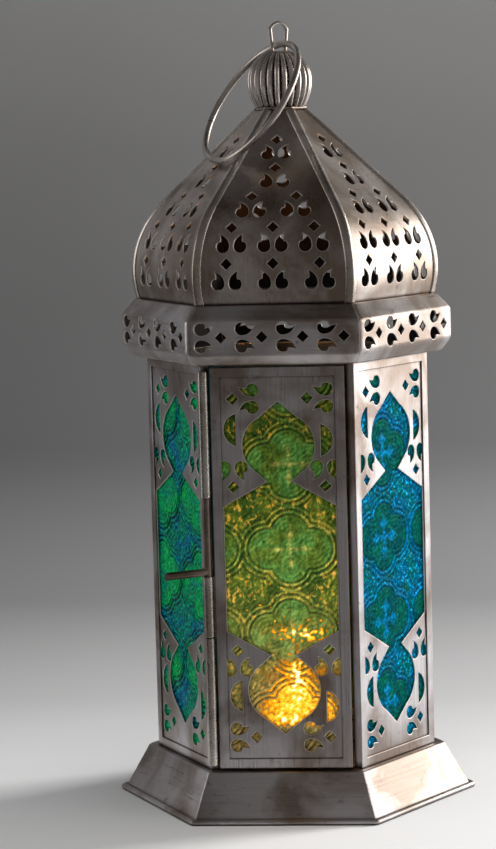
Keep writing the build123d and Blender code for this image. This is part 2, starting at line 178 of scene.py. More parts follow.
@dataclass(frozen=True)
class TinFinish:
    """Tinned sheet, wire-brushed and antiqued: grey with fine brush lines, brown heat stains, and painted
    shade with grime in its corners and recesses.
    """

    name: str
    bright: str = "#c4c1c3"
    dull: str = "#8c8078"
    stain: str = "#5c4a40"
    shade_grime: str = "#34261f"
    roughness: Point = (0.2, 0.37)
    grain: Grain = Grain.UPRIGHT
    line_range: Point = (0.3, 0.7)
    cloud_mm: float = 26.0
    cloud_range: Point = (0.41, 0.61)
    spot_mm: float = 5.0
    stain_share: float = 0.62
    stain_fade: float = 0.16
    stain_most: float = 0.75
    streak: float = 0.14
    shade_grime_mm: float = 1.3
    shade_grime_range: Point = (0.93, 0.55)
    shade_grime_most: float = 0.85
    smudge: float = 0.12
    smudge_mm: float = 14.0
    brush_depth_mm: float = 0.012
    brush_strength: float = 0.35

    def make(self) -> Material:
        """Build the finish.

        Returns:
            The finish as a material.
        """
        material, tree, shader = new_material(self.name, {"Metallic": 1.0})
        place = add_node(tree, "TexCoord").outputs["Object"]
        stretch = tuple(1 / (length * MM) for length in self.grain.value)
        line_span = span("From", self.line_range)
        brushed = add_node(tree, "Mapping", {"Scale": stretch}, {"Vector": place})
        lines = add_node(tree, "TexNoise", {"Scale": 1.0, "Detail": 3.0, "Roughness": 0.65},
                         {"Vector": brushed})
        clouds = add_node(tree, "TexNoise", {"Scale": 1 / (self.cloud_mm * MM), "Detail": 4.0,
                                             "Distortion": 0.6}, {"Vector": place})
        spots = add_node(tree, "TexNoise", {"Scale": 1 / (self.spot_mm * MM), "Detail": 5.0,
                                            "Roughness": 0.7}, {"Vector": place})
        smudges = add_node(tree, "TexNoise", {"Scale": 1 / (self.smudge_mm * MM), "Detail": 2.0,
                                              "Distortion": 1.5}, {"Vector": place})
        fog = add_node(tree, "MapRange", span("From", self.cloud_range), {"Value": clouds})
        tone = add_node(tree, "Mix", {**BLEND, 6: linear(self.bright), 7: linear(self.dull)}, {0: fog})
        stain_span = span("From", (self.stain_share, self.stain_share + self.stain_fade))
        blot = add_node(tree, "MapRange", {**stain_span, "To Max": self.stain_most}, {"Value": spots})
        streak = add_node(tree, "MapRange", {**line_span, **span("To", (1 - self.streak, 1 + self.streak))},
                          {"Value": lines})
        tone = add_node(tree, "Mix", TINT, {6: tone, 7: streak})
        stained = add_node(tree, "Mix", {**BLEND, 7: linear(self.stain)}, {0: blot, 6: tone})
        # Painted shade with grime: darker where nearby metal hides the room, in corners, creases, grooves and
        # recesses.
        nook = add_node(tree, "AmbientOcclusion", {"samples": 10, "Distance": self.shade_grime_mm * MM})
        shade_grime_mask = add_node(tree, "MapRange", {**span("From", self.shade_grime_range), "To Max": self.shade_grime_most},
                        {"Value": nook.outputs["AO"]})
        stained = add_node(tree, "Mix", {**BLEND, 7: linear(self.shade_grime)}, {0: shade_grime_mask, 6: stained})
        shine = add_node(tree, "MapRange", {**line_span, **span("To", self.roughness)}, {"Value": lines})
        shine = add_node(tree, "Math", {"operation": "MULTIPLY_ADD", 1: self.smudge}, {0: smudges, 2: shine})
        feed(shader, {"Base Color": stained, "Roughness": shine})
        if self.brush_depth_mm:
            relief = add_node(tree, "Bump", {"Strength": self.brush_strength,
                                             "Distance": self.brush_depth_mm * MM}, {"Height": lines})
            feed(shader, {"Normal": relief})
        return material


@dataclass(frozen=True)
class GlassFinish:
    """Pressed stained glass that glows by itself with painted light, standing in for daylight behind it.

    The eye sees smooth lobes on a ground of painted glints, with raised lines between dark grooves.
    """

    name: str
    ground: str
    shade: str
    glint: str
    lobe: str
    lobe_shade: str
    groove: str
    line: str
    line_shade: str
    cross: str
    # Colour that the candle's painted light tints the door's lower glass towards.
    warm: str = "#8e7444"
    glint_share: float = 0.57
    glint_fade: float = 0.13
    fleck_mm: Place = (1.1, 1.1, 1.1)
    fleck_range: Point = (0.3, 0.7)
    fleck_gain: Point = (0.5, 1.45)
    relief_shade_gain: Point = (0.2, 1.8)
    patch_mm: float = 9.0
    patch_range: Point = (0.42, 0.58)
    surface_share: float = 0.08
    backlight: float = 1.0
    inner_share: float = 0.06
    shade_mm: float = 6.0
    shade_range: Point = (0.5, 0.93)
    shade_least: float = 0.35
    roughness: float = 0.12
    ior: float = 1.52
    gloss: float = 0.06
    # Colours of the candle's painted light in the door's glass, from dim to bright.
    glow_tones: Tones = ((0.0, "#5a3c0c"), (0.2, "#8a4e0a"), (0.42, "#f09a14"), (0.7, "#ffcb3a"),
                         (1.0, "#fff3cf"))
    glow_colour_range: Point = (0.1, 0.26)
    glow_full: float = 0.12
    glow_strength: float = 1.65

    def make(self) -> Material:
        """Build the finish, which reads the pane's own pattern attributes.

        Returns:
            The finish as a material.
        """
        material, tree, shader = new_material(
            self.name, {"Roughness": self.roughness, "IOR": self.ior, "Specular IOR Level": self.gloss})
        place = add_node(tree, "TexCoord").outputs["Object"]
        marks = {name: add_node(tree, "Attribute", {"attribute_name": name}).outputs["Fac"]
                 for name in PANE_MARKS}
        patches = add_node(tree, "TexNoise", {"Scale": 1 / (self.patch_mm * MM), "Detail": 3.0},
                           {"Vector": place})
        fine = add_node(tree, "Mapping", {"Scale": tuple(1 / (size * MM) for size in self.fleck_mm)},
                        {"Vector": place})
        grains = add_node(tree, "TexNoise", {"Scale": 1.0, "Detail": 2.0, "Distortion": 0.5},
                          {"Vector": fine})
        depth = add_node(tree, "MapRange", span("From", self.patch_range), {"Value": patches})
        ground = add_node(tree, "Mix", {**BLEND, 6: linear(self.ground), 7: linear(self.shade)}, {0: depth})
        # Painted glints: bright flecks over the ground, where its stipple would catch the light.
        spark_span = span("From", (self.glint_share, self.glint_share + self.glint_fade))
        spark = add_node(tree, "MapRange", spark_span, {"Value": grains})
        colour = add_node(tree, "Mix", {**BLEND, 7: linear(self.glint)}, {0: spark, 6: ground})
        smooth = add_node(tree, "Mix", {**BLEND, 6: linear(self.lobe), 7: linear(self.lobe_shade)},
                          {0: depth})
        colour = add_node(tree, "Mix", BLEND, {0: marks["lobe"], 6: colour, 7: smooth})
        colour = add_node(tree, "Mix", {**BLEND, 7: linear(self.groove)}, {0: marks["groove"], 6: colour})
        ridge = add_node(tree, "Mix", {**BLEND, 6: linear(self.line), 7: linear(self.line_shade)}, {0: depth})
        colour = add_node(tree, "Mix", BLEND, {0: marks["line"], 6: colour, 7: ridge})
        # The candle's painted light warms the door's lower glass here.
        for mark, tint in (("cross", self.cross), ("warm", self.warm)):
            colour = add_node(tree, "Mix", {**BLEND, 7: linear(tint)}, {0: marks[mark], 6: colour})
        cloud = add_node(tree, "MapRange", {**span("From", self.fleck_range), **span("To", self.fleck_gain)},
                         {"Value": grains})
        # Painted light and shade: the relief's slope lightens or darkens the glass.
        relief_shade_tone = add_node(tree, "MapRange", span("To", self.relief_shade_gain), {"Value": marks["tilt"]})
        tone = add_node(tree, "Math", PRODUCT, {0: cloud, 1: relief_shade_tone})
        grained = add_node(tree, "Mix", TINT, {6: colour, 7: tone})
        # Painted light: the base colour is kept dim and the glass glows by itself, standing in for daylight
        # behind it and, in the door, for the candle's light.
        body = add_node(tree, "Mix", {**BLEND, 6: linear("#000000"), 0: self.surface_share}, {7: grained})
        glow_colour = add_node(tree, "ValToRGB", {"stops": linear_stops(self.glow_tones)}, {"Fac": marks["glow"]})
        share = add_node(tree, "MapRange", span("From", self.glow_colour_range), {"Value": marks["glow"]})
        light = add_node(tree, "Mix", BLEND, {0: share, 6: grained, 7: glow_colour})
        power_span = span("To", (self.backlight, self.glow_strength))
        power = add_node(tree, "MapRange", {"From Max": self.glow_full, **power_span},
                         {"Value": marks["glow"]})
        side = add_node(tree, "MapRange", span("To", (1.0, self.inner_share)), {"Value": marks["inner"]})
        sent = add_node(tree, "Math", PRODUCT, {0: power, 1: side})
        # Painted shade: the glow dims near the fret's edges and behind its small cut-outs.
        nook = add_node(tree, "AmbientOcclusion", {"samples": 8, "Distance": self.shade_mm * MM})
        cover = add_node(tree, "MapRange", {**span("From", self.shade_range), "To Min": self.shade_least},
                         {"Value": nook.outputs["AO"]})
        sent = add_node(tree, "Math", PRODUCT, {0: sent, 1: cover})
        feed(shader, {"Base Color": body, "Emission Color": light, "Emission Strength": sent})
        return material


@dataclass(frozen=True)
class PlainFinish:
    """A small hidden or single-toned piece, with a faint mottle over its colour."""

    name: str
    colour: str
    mottle: str
    metallic: float
    roughness: float
    mottle_mm: float = 2.0
    subsurface: float = 0.0
    subsurface_mm: float = 2.0
    glow: float = 0.0

    def make(self) -> Material:
        """Build the finish.

        Returns:
            The finish as a material.
        """
        material, tree, shader = new_material(
            self.name, {"Metallic": self.metallic, "Roughness": self.roughness,
                        "Subsurface Weight": self.subsurface, "Subsurface Scale": self.subsurface_mm * MM})
        place = add_node(tree, "TexCoord").outputs["Object"]
        cloud = add_node(tree, "TexNoise", {"Scale": 1 / (self.mottle_mm * MM), "Detail": 3.0},
                         {"Vector": place})
        tone = add_node(tree, "Mix", {**BLEND, 6: linear(self.colour), 7: linear(self.mottle)}, {0: cloud})
        feed(shader, {"Base Color": tone})
        if self.glow:
            shader.inputs["Emission Color"].default_value = linear(self.colour)
            shader.inputs["Emission Strength"].default_value = self.glow
        return material


def made(finish: TinFinish | GlassFinish | PlainFinish) -> Material:
    """Field of a set of finishes that makes its material together with the set."""
    return field(default_factory=finish.make)


@dataclass
class Finishes:
    """Every finish of the lantern, made once and shared by its pieces."""

    # Wire-brushed upright: grey with fine lines and brown clouds, on the frames and frets.
    panel_tin: Material = made(TinFinish("brushed_antiqued_tin"))
    # Brushed along the band, with fainter lines: calm grey on the plinth and the cornice.
    band_tin: Material = made(TinFinish(
        "level_brushed_antiqued_tin", grain=Grain.LEVEL, stain_share=0.6, streak=0.07))
    # Smoked by the candle below: a browner, darker grey on the gores.
    dome_tin: Material = made(TinFinish(
        "smoked_antiqued_tin", bright="#bbb3ae", dull="#86786c", stain_share=0.6))
    # Burnished along a fold: a smooth, bright line of light on the seam strips and barrels.
    bead_tin: Material = made(TinFinish(
        "burnished_tin_fold", bright="#cfcac4", dull="#a59b92", grain=Grain.LOOSE,
        roughness=(0.17, 0.26), stain_share=0.72, streak=0.05, shade_grime_mm=0.6, brush_depth_mm=0.0))
    # Spun over a form: the smoothest metal, with narrow highlights along the ball's flutes.
    spun_tin: Material = made(TinFinish(
        "spun_antiqued_tin", bright="#d2cbc6", dull="#9a8f87", grain=Grain.LOOSE, roughness=(0.16, 0.24),
        stain_share=0.74, streak=0.04, shade_grime_mm=0.5, brush_depth_mm=0.0))
    # Drawn through a die: even grey with one long highlight on the ring and the eye.
    wire: Material = made(TinFinish(
        "drawn_steel_wire", bright="#beb8b2", dull="#948a80", grain=Grain.LOOSE, roughness=(0.18, 0.28),
        stain_share=0.7, streak=0.06, shade_grime_mm=0.6, brush_depth_mm=0.0))
    # Browned by heat: a dark, dull wire that stands out from the barrels.
    pin: Material = made(TinFinish(
        "browned_steel_wire", bright="#8a7d74", dull="#5f5148", grain=Grain.LOOSE, roughness=(0.26, 0.4),
        brush_depth_mm=0.0))
    # Sheared by the punch, and paler as a painted highlight: thin pale rims round every cut-out that catch
    # the light.
    cut_edge_and_highlight: Material = made(TinFinish(
        "sheared_tin_edge_highlight", bright="#e4e0dc", dull="#cfc8c2", grain=Grain.LOOSE, roughness=(0.4, 0.55),
        stain_share=0.72))
    # Painted shade with some candle soot: dark, dull inner sides behind the cut-outs, where little light
    # reaches.
    soot_and_shade: Material = made(PlainFinish("sooted_and_shaded_inner_tin", "#463d3a", "#2c2624", 0.5, 0.6, mottle_mm=6.0))
    # Run in with an iron: soft, blotched grey in the corner grooves.
    solder: Material = made(PlainFinish("run_solder", "#b9b6b1", "#77706a", 1.0, 0.42, mottle_mm=3.0))
    # Amber glass with the dark room behind it, glowing with painted light: olive lobes, brown painted glints
    # and the candle's painted glow.
    amber_glass: Material = made(GlassFinish(
        "pressed_amber_glass", ground="#5a6a20", shade="#38521c", glint="#b4842e", lobe="#4a7a36",
        lobe_shade="#4c6422", groove="#2a3812", line="#9c963c", line_shade="#5a8236", cross="#bcb058",
        glint_share=0.56, fleck_mm=(1.2, 1.2, 2.0), patch_mm=7.0, backlight=0.52))
    # Green glass glowing with painted daylight: bright green lobes on a blue-green ground with dark grooves.
    green_glass: Material = made(GlassFinish(
        "pressed_green_glass", ground="#0a705c", shade="#0a5c7c", glint="#12985a", lobe="#0b964a",
        lobe_shade="#0a7a50", groove="#032430", line="#0e9450", line_shade="#0a7058", cross="#0d6a8c",
        glint_share=0.6, patch_mm=8.0, gloss=0.03, backlight=0.72))
    # Blue glass glowing with painted daylight: deep teal lobes, sky-blue painted glints and heavy bright
    # crosses.
    blue_glass: Material = made(GlassFinish(
        "pressed_blue_glass", ground="#04688e", shade="#046a6a", glint="#10b0ec", lobe="#04604a",
        lobe_shade="#035054", groove="#033a4c", line="#067cba", line_shade="#06648a", cross="#0aa0f0",
        glint_share=0.57, patch_mm=6.0, gloss=0.005, backlight=0.95))
    # Pressed from foil: clean, light metal on the tea light's cup.
    aluminium: Material = made(PlainFinish(
        "pressed_aluminium_foil", "#d8d8da", "#c2c2c5", 1.0, 0.3, mottle_mm=8.0))
    # Poured and set: cream, with light that sinks in.
    wax: Material = made(PlainFinish(
        "poured_paraffin_wax", "#f3ecda", "#e9dfc6", 0.0, 0.45, mottle_mm=6.0, subsurface=0.4))
    # Charred: dull black with grey ash.
    wick: Material = made(PlainFinish("charred_cotton_wick", "#2a2521", "#4a4038", 0.0, 0.9, mottle_mm=0.4))
    # Burning: even yellow light.
    flame: Material = made(PlainFinish(
        "candle_flame", "#ffc45a", "#ffb03a", 0.0, 0.6, mottle_mm=6.0, glow=14.0))

    def cut_sheet(self) -> tuple[Material, ...]:
        """Finishes of a punched sheet's rims and of its inner side."""
        return self.cut_edge_and_highlight, self.soot_and_shade


@dataclass(frozen=True)
class Run:
    """One straight or evenly bent stretch of a folded outline."""

    start: Vector
    heading: Vector
    length: float
    turn: float

    def at(self, distance: float) -> tuple[Vector, Vector]:
        """Find a place on the run.

        Args:
            distance: How far along the run, in mm.

        Returns:
            The point, and the heading there.
        """
        if abs(self.turn) < 1e-9:
            return self.start + self.heading * distance, self.heading
        angle = self.turn * distance / self.length
        radius = self.length / abs(self.turn)
        side = Vector((-self.heading.y, self.heading.x)) * (1 if self.turn > 0 else -1)
        point = self.start + radius * (self.heading * sin(abs(angle)) + side * (1 - cos(angle)))
        heading = Vector((self.heading.x * cos(angle) - self.heading.y * sin(angle),
                          self.heading.x * sin(angle) + self.heading.y * cos(angle)))
        return point, heading


@dataclass
class FoldedProfile:
    """Section of a bent sheet, outwards and up in mm: straight runs with round bends between them."""

    corners: Loop
    radii: list[float]
    step: float = 1.6
    runs: list[Run] = field(init=False)
    length: float = field(init=False)

    def __post_init__(self) -> None:
        """Work out the runs from the corners and the bends' radii."""
        points = [Vector(corner) for corner in self.corners]
        self.runs = []
        place = points[0]
        for before, corner, after, radius in zip(points, points[1:], points[2:], self.radii):
            inward = (corner - before).normalized()
            onward = (after - corner).normalized()
            turn = atan2(inward.x * onward.y - inward.y * onward.x, inward.dot(onward))
            setback = radius * tan(abs(turn) / 2)
            bend = corner - inward * setback
            self.runs.append(Run(place, inward, (bend - place).length, 0.0))
            self.runs.append(Run(bend, inward, radius * abs(turn), turn))
            place = corner + onward * setback
        if (points[-1] - place).length > 1e-6:
            heading = (points[-1] - points[-2]).normalized()
            self.runs.append(Run(place, heading, (points[-1] - place).length, 0.0))
        self.length = sum(run.length for run in self.runs)

    def at(self, distance: float) -> tuple[Vector, Vector]:
        """Find a place on the outline.

        Args:
            distance: How far along the outline, in mm.

        Returns:
            The point, and the normal that leaves the sheet's outer face there.
        """
        left = min(max(distance, 0.0), self.length)
        for run in self.runs:
            if left <= run.length + 1e-9 or run is self.runs[-1]:
                point, heading = run.at(left)
                return point, Vector((heading.y, -heading.x))
            left -= run.length
        return self.runs[-1].start, Vector((1, 0))

    def levels(self) -> list[float]:
        """List the distances at which a flat sheet is creased before it is bent.

        Returns:
            Distances along the outline, in mm.
        """
        marks = [0.0]
        start = 0.0
        for run in self.runs:
            parts = max(1, ceil(run.length / self.step)) if run.turn else 1
            marks += [start + run.length * k / parts for k in range(1, parts + 1)]
            start += run.length
        return marks

    def half_width(self, distance: float) -> float:
        """Half the width of a mitred side at a distance along the outline, in mm."""
        return self.at(distance)[0].x * MITRE


def turned_loop(loop: Loop, x: float, y: float, turn: float) -> Loop:
    """Turn a flat outline about its own origin and move it.

    Args:
        loop: Points of the outline, in mm.
        x: Place to the right, in mm.
        y: Place upwards, in mm.
        turn: Turn in degrees.

    Returns:
        The moved outline.
    """
    c, s = cos(radians(turn)), sin(radians(turn))
    return [(x + c * px - s * py, y + s * px + c * py) for px, py in loop]


def quadratic(start: Point, control: Point, end: Point, steps: int) -> Loop:
    """Draw a curve that bends towards a control point.

    Args:
        start: First point.
        control: Point that the curve bends towards.
        end: Last point.
        steps: Number of parts.

    Returns:
        The curve's points, without its end point.
    """
    curve = []
    for k in range(steps):
        t = k / steps
        weights = ((1 - t) ** 2, 2 * t * (1 - t), t * t)
        curve.append(tuple(sum(w * p[i] for w, p in zip(weights, (start, control, end))) for i in (0, 1)))
    return curve


def arc_through(start: Point, middle: Point, end: Point, steps: int) -> Loop:
    """Points of the arc from start through middle to end, both ends included.

    Args:
        start: First point.
        middle: A point that the arc passes.
        end: Last point.
        steps: Number of equal parts.

    Returns:
        The arc's points.
    """
    (ax, ay), (bx, by), (cx, cy) = start, middle, end
    d = 2 * (ax * (by - cy) + bx * (cy - ay) + cx * (ay - by))
    a, b, c = ax * ax + ay * ay, bx * bx + by * by, cx * cx + cy * cy
    ox = (a * (by - cy) + b * (cy - ay) + c * (ay - by)) / d
    oy = (a * (cx - bx) + b * (ax - cx) + c * (bx - ax)) / d
    first = atan2(ay - oy, ax - ox)
    sweep = (atan2(cy - oy, cx - ox) - first + pi) % (2 * pi) - pi
    half = (atan2(by - oy, bx - ox) - first + pi) % (2 * pi) - pi
    if half * sweep < 0:
        sweep -= 2 * pi * (1 if sweep > 0 else -1)
    radius = hypot(ax - ox, ay - oy)
    return [(ox + radius * cos(first + sweep * k / steps), oy + radius * sin(first + sweep * k / steps))
            for k in range(steps + 1)]


def mitred_outline(profile: FoldedProfile) -> Loop:
    """Outline of a mitred side, laid flat.

    Args:
        profile: Section that the side is bent to.

    Returns:
        The outline, across in X and along the profile in Y.
    """
    marks = profile.levels()
    right = [(profile.half_width(mark), mark) for mark in marks]
    return right + [(-x, y) for x, y in reversed(right)]


@dataclass(frozen=True)
class PunchedMotif:
    """The lantern's one punched figure: a diamond over a mirrored pair of commas, in mm."""

    diamond_side: float = 2.8
    diamond_rise: float = 5.7
    comma_offset: float = 2.85
    comma_head: float = 2.15
    comma_drop: float = 0.9
    comma_tip: Point = (0.9, 3.3)
    comma_notch: Point = (0.7, 0.75)
    comma_back: Point = (-1.9, 2.1)
    comma_throat: Point = (0.45, 1.9)
    head_bearings: Point = (40, -195)
    head_steps: int = 18
    back_steps: int = 6
    throat_steps: int = 4
    moon_chord: float = 10.6
    moon_depth: float = 4.0
    moon_steps: int = 6

    def comma(self, hand: int) -> Loop:
        """Draw one comma.

        Args:
            hand: 1 for the right-hand comma, -1 for its mirror image.

        Returns:
            The comma's outline.
        """
        first, last = self.head_bearings
        steps = self.head_steps
        bearings = [radians(first - (first - last) * k / steps) for k in range(steps + 1)]
        head = [(self.comma_head * cos(a), self.comma_head * sin(a) - self.comma_drop) for a in bearings]
        back = quadratic(head[-1], self.comma_back, self.comma_tip, self.back_steps)
        throat = quadratic(self.comma_tip, self.comma_throat, self.comma_notch, self.throat_steps)
        outline = head[:-1] + back + throat + [self.comma_notch]
        return [(hand * (self.comma_offset + x), y) for x, y in outline]

    def loops(self) -> list[Loop]:
        """Draw the diamond and both commas.

        Returns:
            The three outlines.
        """
        half = self.diamond_side / sqrt(2)
        diamond = [(half, self.diamond_rise), (0, self.diamond_rise + half), (-half, self.diamond_rise),
                   (0, self.diamond_rise - half)]
        return [diamond, self.comma(1), self.comma(-1)]

    def moon(self) -> Loop:
        """Draw the half moon, its straight side upright and its round side to the left.

        Returns:
            The half moon's outline.
        """
        radius = (self.moon_chord**2 / 4 + self.moon_depth**2) / (2 * self.moon_depth)
        half = asin(self.moon_chord / 2 / radius)
        angles = (half * (k / self.moon_steps - 1) for k in range(2 * self.moon_steps + 1))
        return [(radius * (cos(half) - cos(a)), radius * sin(a)) for a in angles]


def flat_sheet(loops: list[Loop], thickness: float, rim: float) -> BMesh:
    """Cut a flat sheet with holes and slightly rounded rims.

    Args:
        loops: Outer outline first, then the holes, in mm.
        thickness: Sheet thickness, in mm.
        rim: Radius of the rounded rims, in mm.

    Returns:
        The sheet in the XY plane, centred on Z, in mm.
    """
    curve = bpy.data.curves.new("sheet_outline", "CURVE")
    curve.dimensions = "2D"
    curve.fill_mode = "BOTH"
    curve.extrude = thickness / 2 - rim
    curve.bevel_depth = rim
    curve.bevel_resolution = 1
    curve.offset = -rim
    for loop in loops:
        spline = curve.splines.new("POLY")
        spline.points.add(len(loop) - 1)
        for spot, (x, y) in zip(spline.points, loop):
            spot.co = (x, y, 0, 1)
        spline.use_cyclic_u = True
    pattern = bpy.data.objects.new("sheet_outline", curve)
    mesh = bpy.data.meshes.new_from_object(pattern)
    sheet = bmesh.new()
    sheet.from_mesh(mesh)
    bpy.data.objects.remove(pattern)
    bpy.data.curves.remove(curve)
    bpy.data.meshes.remove(mesh)
    bmesh.ops.remove_doubles(sheet, verts=sheet.verts, dist=MERGE)
    sheet.normal_update()
    for face in sheet.faces:
        face.material_index = 0 if face.normal.z > FACING else 2 if face.normal.z < -FACING else 1
    return sheet


def bend_sheet(sheet: BMesh, profile: FoldedProfile, thickness: float) -> None:
    """Crease a flat sheet and bend it over a profile on the front side, its ends cut to the corner planes.

    Args:
        sheet: Flat sheet, across in X and along the profile in Y, in mm.
        profile: Section of the sheet's outer face.
        thickness: Sheet thickness, in mm.
    """
    for level in profile.levels()[1:-1]:
        geometry = sheet.verts[:] + sheet.edges[:] + sheet.faces[:]
        bmesh.ops.bisect_plane(sheet, geom=geometry, plane_co=(0, level, 0), plane_no=(0, 1, 0), dist=1e-5)
    for vertex in sheet.verts:
        x, along, depth = vertex.co
        point, normal = profile.at(along)
        place = point + normal * (depth - thickness / 2)
        vertex.co = (x * place.x / point.x, -place.x, place.y)


def turn_mesh(mesh: BMesh, angle: float) -> None:
    """Turn a front piece about the lantern's axis, in degrees."""
    bmesh.ops.rotate(mesh, verts=mesh.verts, cent=(0, 0, 0), matrix=Matrix.Rotation(radians(angle), 3, "Z"))


def picked(geometry: list, kind: type) -> list:
    """Pick one kind of element out of what a mesh operator hands back.

    Args:
        geometry: Vertices, edges and faces.
        kind: The type to keep.

    Returns:
        The elements of that type.
    """
    return [item for item in geometry if isinstance(item, kind)]


def round_edges(mesh: BMesh, edges: list[BMEdge], offset: float) -> None:
    """Round some edges of a mesh.

    Args:
        mesh: The mesh, in mm.
        edges: Its edges to round.
        offset: How far the rounding reaches into the faces beside an edge, in mm.
    """
    bmesh.ops.bevel(mesh, geom=edges, affect="EDGES", offset=offset, offset_type="OFFSET", segments=2,
                    profile=0.5, material=-1)


def spin_closed(mesh: BMesh, geometry: list, steps: int) -> None:
    """Spin a section once round the Z axis and close it.

    Args:
        mesh: The mesh that holds the section.
        geometry: The section's vertices and edges.
        steps: Number of equal parts.
    """
    bmesh.ops.spin(mesh, geom=geometry, cent=(0, 0, 0), axis=(0, 0, 1), angle=2 * pi, steps=steps,
                   use_merge=True)
    bmesh.ops.remove_doubles(mesh, verts=mesh.verts, dist=MERGE)


def mesh_data(mesh: BMesh, name: str) -> Mesh:
    """Store a mesh and free its working copy.

    Args:
        mesh: The working copy.
        name: Name of the stored mesh.

    Returns:
        The stored mesh.
    """
    data = bpy.data.meshes.new(name)
    mesh.to_mesh(data)
    mesh.free()
    return data


def link_object(name: str, data: ID) -> Object:
    """Put a mesh, a lamp or a camera into the scene.

    Args:
        name: Name of the object.
        data: What it shows.

    Returns:
        The new object.
    """
    thing = bpy.data.objects.new(name, data)
    bpy.context.scene.collection.objects.link(thing)
    return thing


def join_meshes(parts: list[BMesh]) -> BMesh:
    """Put several meshes into one and free them.

    Args:
        parts: Meshes to join.

    Returns:
        One mesh that holds them all.
    """
    whole = bmesh.new()
    for part in parts:
        mesh = mesh_data(part, "joined_part")
        whole.from_mesh(mesh)
        bpy.data.meshes.remove(mesh)
    return whole


def finish_piece(mesh: BMesh, name: str, body: str, material: Material,
                 nodes: tuple[str, ...] = (), crease: float = SHEET_CREASE,
                 others: tuple[Material, ...] = ()) -> Object:
    """Turn a mesh in mm into a finished piece that rides on a body.

    Args:
        mesh: The piece's mesh, in mm.
        name: Name of the piece.
        body: Body that carries it.
        material: Its finish.
        nodes: CAD nodes that it stands for.
        crease: Angle in degrees past which an edge stays sharp.
        others: Finishes of a cut sheet's rims and of its inner side.

    Returns:
        The new object.
    """
    bmesh.ops.remove_doubles(mesh, verts=mesh.verts, dist=MERGE)
    bmesh.ops.recalc_face_normals(mesh, faces=mesh.faces)
    bmesh.ops.scale(mesh, vec=(MM, MM, MM), verts=mesh.verts)
    data = mesh_data(mesh, name)
    data.polygons.foreach_set("use_smooth", [True] * len(data.polygons))
    data.set_sharp_from_angle(angle=radians(crease))
    for finish in (material, *others):
        data.materials.append(finish)
    piece = link_object(name, data)
    if nodes:
        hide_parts(*nodes)
    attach(piece, body)
    LOG.info("%s: %d faces", name, len(data.polygons))
    return piece


def dress_node(name: str, material: Material) -> None:
    """Give a CAD node that stays in view its finish.

    Args:
        name: Name of the node.
        material: Its finish.
    """
    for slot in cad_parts[name].material_slots:
        slot.material = material
    LOG.info("%s: dressed", name)


def bell(distance: float, width: float) -> float:
    """Height of a bell curve of height 1 at a distance from its middle."""
    return exp(-((distance / width) ** 2))


def fade(distance: float, width: float) -> float:
    """Share that falls softly from 1 to 0 round a distance of 0."""
    return 1 / (1 + exp(distance / width))


def clamp(value: float, least: float = 0.0) -> float:
    """A value kept between a least share and 1."""
    return min(max(value, least), 1.0)


def speckle(x: float, z: float, grain: Place) -> float:
    """Read a fixed noise at a place on a pane.

    Args:
        x: Place across the pane, in mm.
        z: Height, in mm.
        grain: The noise's width and height in mm, and the level at which it is cut.

    Returns:
        A value that is about as often below 0 as above.
    """
    width, height, level = grain
    return noise.noise((x / width, z / height, level))


